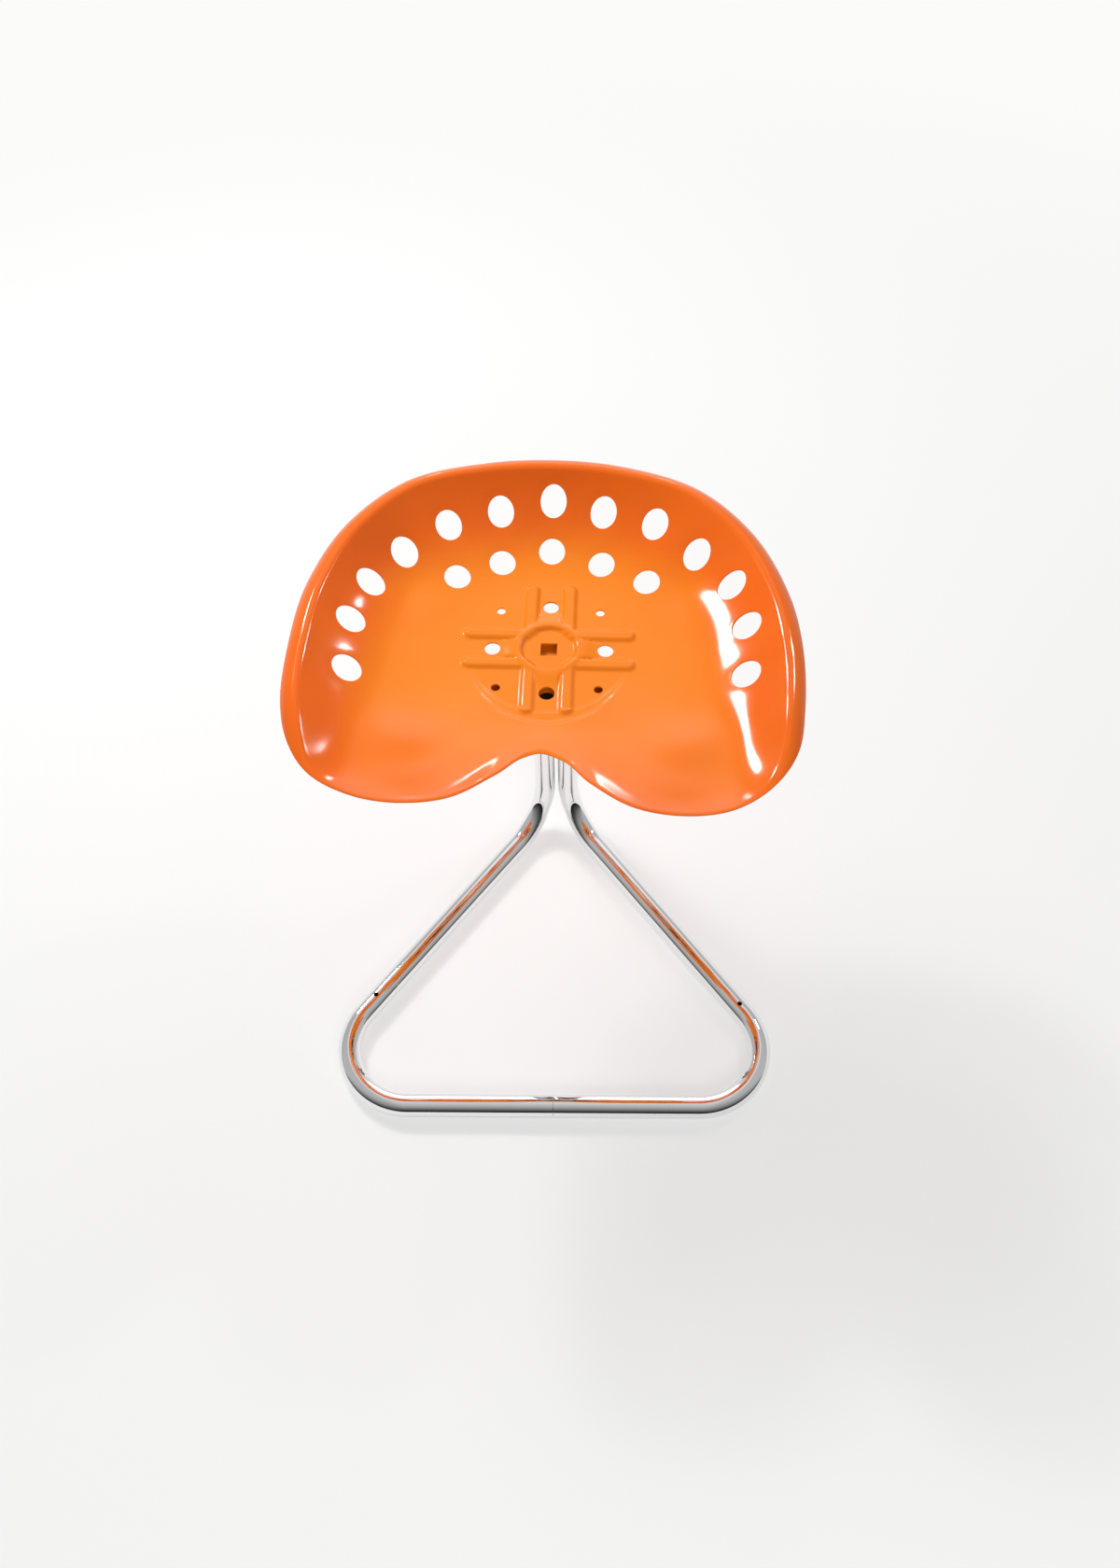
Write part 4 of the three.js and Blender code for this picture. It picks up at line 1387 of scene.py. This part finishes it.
    def _bolts(self, level: float, tip: float) -> None:
        """Hexagon bolts, head down, with a chamfered head and a thread of fine rings."""
        tree = NodeSweep("hexagon_bolt")
        across = tree.size("Head Radius", self.bolt_head_radius)
        tall = tree.size("Head Height", self.bolt_head_height)
        thick = tree.size("Shank Radius", self.bolt_radius)
        long = tree.size("Shank Length", tip - level)
        hexagon = tree.node("GeometryNodeMeshCylinder", {"Vertices": 6, "Radius": across, "Depth": tall})
        cone_top = tree.graph.maths("MULTIPLY", across, 2.0)
        cone_foot = tree.graph.maths("MULTIPLY", across, 0.88)
        cone = tree.node("GeometryNodeMeshCone", {
            "Vertices": 48, "Radius Top": cone_top, "Radius Bottom": cone_foot, "Depth": tall})
        sunk = tree.graph.maths("MULTIPLY", tall, -0.5)
        below = tree.node("ShaderNodeCombineXYZ", {"Z": sunk})
        foot = tree.node("ShaderNodeCombineXYZ", {"Z": tree.graph.maths("MULTIPLY", tall, -1.0)})
        hexagon = tree.node("GeometryNodeTransform", {"Geometry": hexagon, "Translation": below})
        cone = tree.node("GeometryNodeTransform", {"Geometry": cone, "Translation": foot})
        boolean = tree.graph.add("GeometryNodeMeshBoolean", operation="INTERSECT")
        for part in (hexagon, cone):
            tree.tree.links.new(part, boolean.inputs["Mesh 2"])
        turns = tree.graph.maths("DIVIDE", long, 0.001)
        rings = tree.node("GeometryNodeMeshLine", {
            "Count": tree.graph.maths("MULTIPLY", turns, 4.0), "Offset": (0, 0, 0.00025)}, mode="OFFSET")
        shank = tree.node("GeometryNodeMeshToCurve", {0: rings})
        number = tree.node("GeometryNodeInputIndex")
        wave = tree.graph.maths("SINE", tree.graph.maths("MULTIPLY", number, math.pi / 2))
        scale = tree.graph.maths("ADD", tree.graph.maths("MULTIPLY", wave, 0.05), 0.95)
        shank = tree.node("GeometryNodeSetCurveRadius", {"Curve": shank, "Radius": scale})
        circle = tree.node("GeometryNodeCurvePrimitiveCircle", {"Resolution": 24, "Radius": thick})
        shank = tree.node("GeometryNodeCurveToMesh", {
            "Curve": shank, "Profile Curve": circle, "Scale": scale, "Fill Caps": True})
        shape = tree.joined(boolean.outputs[0], shank)
        self._copied(tree, shape, level, "clamp_bolts", "clamp_bolt", 3)

    def _flat_ring(self, tree: NodeSweep, path: bpy.types.NodeSocket, width: float, height: float,
                   caps: bool) -> bpy.types.NodeSocket:
        """Sweeps a rectangle with softened corners along a path."""
        wide = tree.size("Ring Width", width)
        tall = tree.size("Thickness", height)
        section = tree.node("GeometryNodeCurvePrimitiveQuadrilateral", {"Width": wide, "Height": tall})
        corner = tree.graph.maths("MULTIPLY", tall, 0.12)
        section = tree.node("GeometryNodeFilletCurve", {"Curve": section, "Radius": corner, "Count": 2},
                            mode="POLY")
        return tree.node("GeometryNodeCurveToMesh", {"Curve": path, "Profile Curve": section, "Fill Caps": caps})

    def _washers(self, level: float) -> None:
        """Flat washers."""
        tree = NodeSweep("flat_washer")
        bore = self.bolt_radius + self.bolt_clearance
        middle = tree.size("Middle Radius", (self.washer_radius + bore) / 2)
        path = tree.node("GeometryNodeCurvePrimitiveCircle", {"Resolution": 48, "Radius": middle})
        shape = self._flat_ring(tree, path, self.washer_radius - bore, self.washer_thickness, False)
        self._copied(tree, shape, level, "flat_washers", "flat_washer", 5)

    def _spring_washers(self, level: float) -> None:
        """Split spring washers, slightly wound."""
        tree = NodeSweep("spring_washer")
        bore = self.bolt_radius + self.bolt_clearance
        middle = tree.size("Middle Radius", (self.spring_washer_radius + bore) / 2)
        path = tree.node("GeometryNodeCurveSpiral", {
            "Resolution": 44, "Rotations": 0.965, "Start Radius": middle, "End Radius": middle, "Height": 0.00018})
        thickness = self.spring_washer_thickness - 0.0002
        shape = self._flat_ring(tree, path, self.spring_washer_radius - bore, thickness, True)
        self._copied(tree, shape, level, "spring_washers", "spring_washer", 8)

    def plugs(self) -> None:
        """Builds the plugs in the tubes' open ends under the hub."""
        radius, head, shank = self.tube_radius, self.plug_head, self.bore_radius
        profile = [(shank - 0.0012, self.plug_shank), (shank, self.plug_shank - 0.0012)]
        for depth in np.arange(0.0105, 0.002, -0.003):
            profile += [(shank, depth), (shank - 0.0005, depth - 0.0006), (shank - 0.0005, depth - 0.0018)]
        profile += [(shank, 0.0), (radius - 0.0004, 0.0), (radius, -0.0004)]
        for turn in np.linspace(0, math.pi / 2, 6):
            bend = head * 0.7
            profile.append((radius - bend * (1 - math.cos(turn)), -(head - bend) - bend * math.sin(turn)))
        profile.append((radius * 0.35, -head))
        for side, word in ((-1, "left"), (1, "right")):
            maker = MeshMaker()
            loops = []
            for out, along in profile:
                circle = ring(out, 40)
                points = np.column_stack([
                    circle[:, 0] + side * self.tube_half_spacing,
                    np.full(len(circle), along - self.run_front - self.stack),
                    circle[:, 1] + self.run_height,
                ])
                loops.append(maker.add(self.layout.from_hub(points, True)))
            maker.bands(loops)
            for loop, along, upwards in ((loops[0], profile[0][1], False), (loops[-1], -head, True)):
                tip = self.layout.from_hub(np.array([(
                    side * self.tube_half_spacing, along - self.run_front - self.stack, self.run_height)]), True)
                maker.fan(loop, tip[0], upwards)
            mount(maker.piece(f"tube_plug_{word}_moulded"), Finish.PLASTIC, f"tube_plug_{word}")

    def build(self) -> None:
        """Builds everything under the hub."""
        self.tray()
        self.saddle_pad()
        tongue = abs(self.bolts()[0][0]) + self.bolt_edge
        for (name, middle, length), half_width in zip(self.clamps, (self.half_width, tongue)):
            self.clamp(name, middle, length, half_width)
        self.fasteners()
        self.plugs()


@dataclass(frozen=True)
class Lamp:
    """One soft lamp.

    Attributes:
        name: The lamp's name.
        azimuth: Where it stands, in degrees from the back towards the right.
        elevation: Its height above the horizon, in degrees.
        distance: From the seat to the lamp.
        size: Its width and height.
        watts: Its power.
        mirrored: Whether glossy surfaces mirror it.
    """

    name: str
    azimuth: float
    elevation: float
    distance: float
    size: tuple[float, float]
    watts: float
    mirrored: bool = True


@dataclass
class Studio:
    """Floor, lamps, surroundings and camera."""

    layout: Layout
    focal_pixels: float = 1550
    picture: tuple[int, int] = (1200, 1680)
    sensor: float = 36
    target: tuple[float, float, float] = (0.00306, 0.42927, 0.0125)
    distance: float = 1.8143
    elevation: float = math.radians(54.311)
    yaw: float = math.radians(1.147)
    roll: float = math.radians(-0.720)
    daylight: float = 0.22
    lamps: tuple[Lamp, ...] = (
        Lamp("left_softbox", -40, 42, 2.2, (1.0, 0.8), 25, False),
        Lamp("left_bulb", -40, 39.5, 2.2, (0.24, 0.20), 16),
        Lamp("right_softbox", 42, 45, 2.4, (1.4, 1.2), 5, False),
        Lamp("right_bulb", 48.5, 40.5, 2.2, (0.14, 0.14), 4),
        Lamp("front_softbox", 168, 30, 2.4, (1.6, 0.9), 20, False),
        Lamp("left_spark", -14, 22, 2.2, (0.10, 0.10), 1.0),
        Lamp("right_spark", 13, 22, 2.2, (0.10, 0.10), 1.0),
    )
    room: tuple[tuple[float, float, float], ...] = (
        (0, 0.95, 0.95), (25, 1.9, 0.60), (36, 1.8, 0.45), (46, 1.1, 0.45), (60, 0.8, 0.50), (92, 0.62, 0.50),
        (108, 0.50, 0.44), (120, 0.42, 0.36), (138, 0.26, 0.24), (147, 0.17, 0.18), (156, 0.08, 0.10),
        (168, 0.03, 0.04), (176, 0.01, 0.01), (180, 0.02, 0.02),
    )

    def camera(self) -> None:
        """Sets the camera where the photograph was taken."""
        cos, sin = math.cos, math.sin
        e, w, r = self.elevation, self.yaw, self.roll
        back = Vector((sin(w) * cos(e), -cos(w) * cos(e), sin(e)))
        level = Vector((cos(w), sin(w), 0))
        upright = back.cross(level)
        right = level * cos(r) + upright * sin(r)
        up = -level * sin(r) + upright * cos(r)
        base = Vector((self.layout.seam.x, self.layout.seam.y, 0))
        place = base + Vector(self.target) + back * self.distance
        data = bpy.data.cameras.new("camera")
        data.sensor_width = self.sensor
        data.lens = self.focal_pixels / max(self.picture) * self.sensor
        camera = bpy.data.objects.new("camera", data)
        camera.matrix_world = Matrix.Translation(place) @ Matrix((right, up, back)).transposed().to_4x4()
        bpy.context.scene.collection.objects.link(camera)
        bpy.context.scene.camera = camera

    def floor(self) -> None:
        """Lays the pale floor, which fades to white far out and keeps the stool's shadow."""
        maker = MeshMaker()
        loops = [
            maker.add(np.column_stack([ring(out, 64), np.zeros(64)])) for out in (6.0, 3.0, 1.0)
        ]
        maker.bands(loops)
        maker.fan(loops[-1], (0, 0, 0), True)
        floor = maker.piece("floor")
        material, graph, place = new_material("pale_floor")
        seen = self._seen(graph)
        away = graph.add("ShaderNodeVectorMath", {0: place}, operation="LENGTH").outputs["Value"]
        lift = graph.ranged(away, 0.5, 2.2, 0.55, 1.0)
        plain = graph.add("ShaderNodeBsdfDiffuse", {"Color": (0.9, 0.9, 0.9, 1)}).outputs[0]
        pale = graph.add("ShaderNodeBsdfDiffuse", {"Color": (0.94, 0.94, 0.94, 1)}).outputs[0]
        white = graph.add("ShaderNodeEmission", {"Color": (0.965, 0.965, 0.96, 1), "Strength": 1.0}).outputs[0]
        lifted = graph.add("ShaderNodeMixShader", {0: lift, 1: pale, 2: white}).outputs[0]
        both = graph.add("ShaderNodeMixShader", {0: seen, 1: plain, 2: lifted})
        graph.add("ShaderNodeOutputMaterial", {"Surface": both.outputs[0]})
        floor.data.materials.append(material)

    @staticmethod
    def _seen(graph: NodeGraph) -> bpy.types.NodeSocket:
        """1 where a surface is seen straight, in a reflection or through something clear."""
        path = graph.add("ShaderNodeLightPath").outputs
        mirrored = graph.maths("MAXIMUM", path["Is Glossy Ray"], path["Is Transmission Ray"])
        return graph.maths("MAXIMUM", path["Is Camera Ray"], mirrored)

    def surroundings(self) -> None:
        """A white room that is mirrored grey above and dark at the front, and lights the stool evenly."""
        world = bpy.data.worlds.new("studio")
        bpy.context.scene.world = world
        world.use_nodes = True
        graph = NodeGraph(world.node_tree)
        direction = graph.add("ShaderNodeTexCoord").outputs["Generated"]
        parts = graph.add("ShaderNodeSeparateXYZ", {0: direction}).outputs
        path = graph.add("ShaderNodeLightPath").outputs
        climb = graph.maths("DIVIDE", graph.maths("ARCTAN2", parts["Z"], parts["Y"]), math.pi)
        levels = []
        for column in (1, 2):
            ramp = graph.add("ShaderNodeValToRGB", {0: climb})
            stops = ramp.color_ramp.elements
            for number, row in enumerate(self.room):
                stop = stops[number] if number < 2 else stops.new(1)
                level = row[column] / 2
                stop.position, stop.color = row[0] / 180, (level, level, level, 1)
            levels.append(ramp.outputs["Color"])
        aside = graph.ranged(graph.maths("ABSOLUTE", parts["X"]), 0.12, 0.36)
        room = graph.blended(aside, *levels)
        mirrored = graph.add("ShaderNodeBackground", {"Color": room, "Strength": 2.0}).outputs[0]
        seen = graph.add("ShaderNodeBackground", {"Color": (1, 1, 1, 1), "Strength": 1.0}).outputs[0]
        light = graph.add("ShaderNodeBackground", {"Color": (1, 1, 1, 1), "Strength": self.daylight}).outputs[0]
        glossy = graph.maths("MAXIMUM", path["Is Glossy Ray"], path["Is Transmission Ray"])
        mixed = graph.add("ShaderNodeMixShader", {0: glossy, 1: light, 2: mirrored}).outputs[0]
        mixed = graph.add("ShaderNodeMixShader", {0: path["Is Camera Ray"], 1: mixed, 2: seen})
        graph.add("ShaderNodeOutputWorld", {"Surface": mixed.outputs[0]})

    def lights(self) -> None:
        """Hangs the soft lamps round the seat."""
        for lamp in self.lamps:
            data = bpy.data.lights.new(lamp.name, "AREA")
            data.shape = "RECTANGLE"
            data.size, data.size_y = lamp.size
            data.energy = lamp.watts
            azimuth, elevation = math.radians(lamp.azimuth), math.radians(lamp.elevation)
            towards = Vector((
                math.sin(azimuth) * math.cos(elevation),
                math.cos(azimuth) * math.cos(elevation),
                math.sin(elevation),
            ))
            light = bpy.data.objects.new(lamp.name, data)
            light.location = self.layout.hub + towards * lamp.distance
            light.rotation_euler = towards.to_track_quat("Z", "Y").to_euler()
            light.visible_glossy = lamp.mirrored
            bpy.context.scene.collection.objects.link(light)

    def build(self) -> None:
        """Builds the studio."""
        bpy.context.scene.view_settings.view_transform = "Standard"
        self.camera()
        self.floor()
        self.surroundings()
        self.lights()


def main() -> None:
    """Builds the stool's looks."""
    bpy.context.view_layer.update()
    logging.basicConfig(level=logging.INFO, format="%(message)s")
    layout = Layout.from_frame(rear_bolts_behind_hub=0.009, sheet=0.002, fit=0.0003)
    Studio(layout).build()
    SeatPan(layout).build()
    TubeFrame(layout).build()
    HubMount(layout).build()


if __name__ == "__main__":
    main()
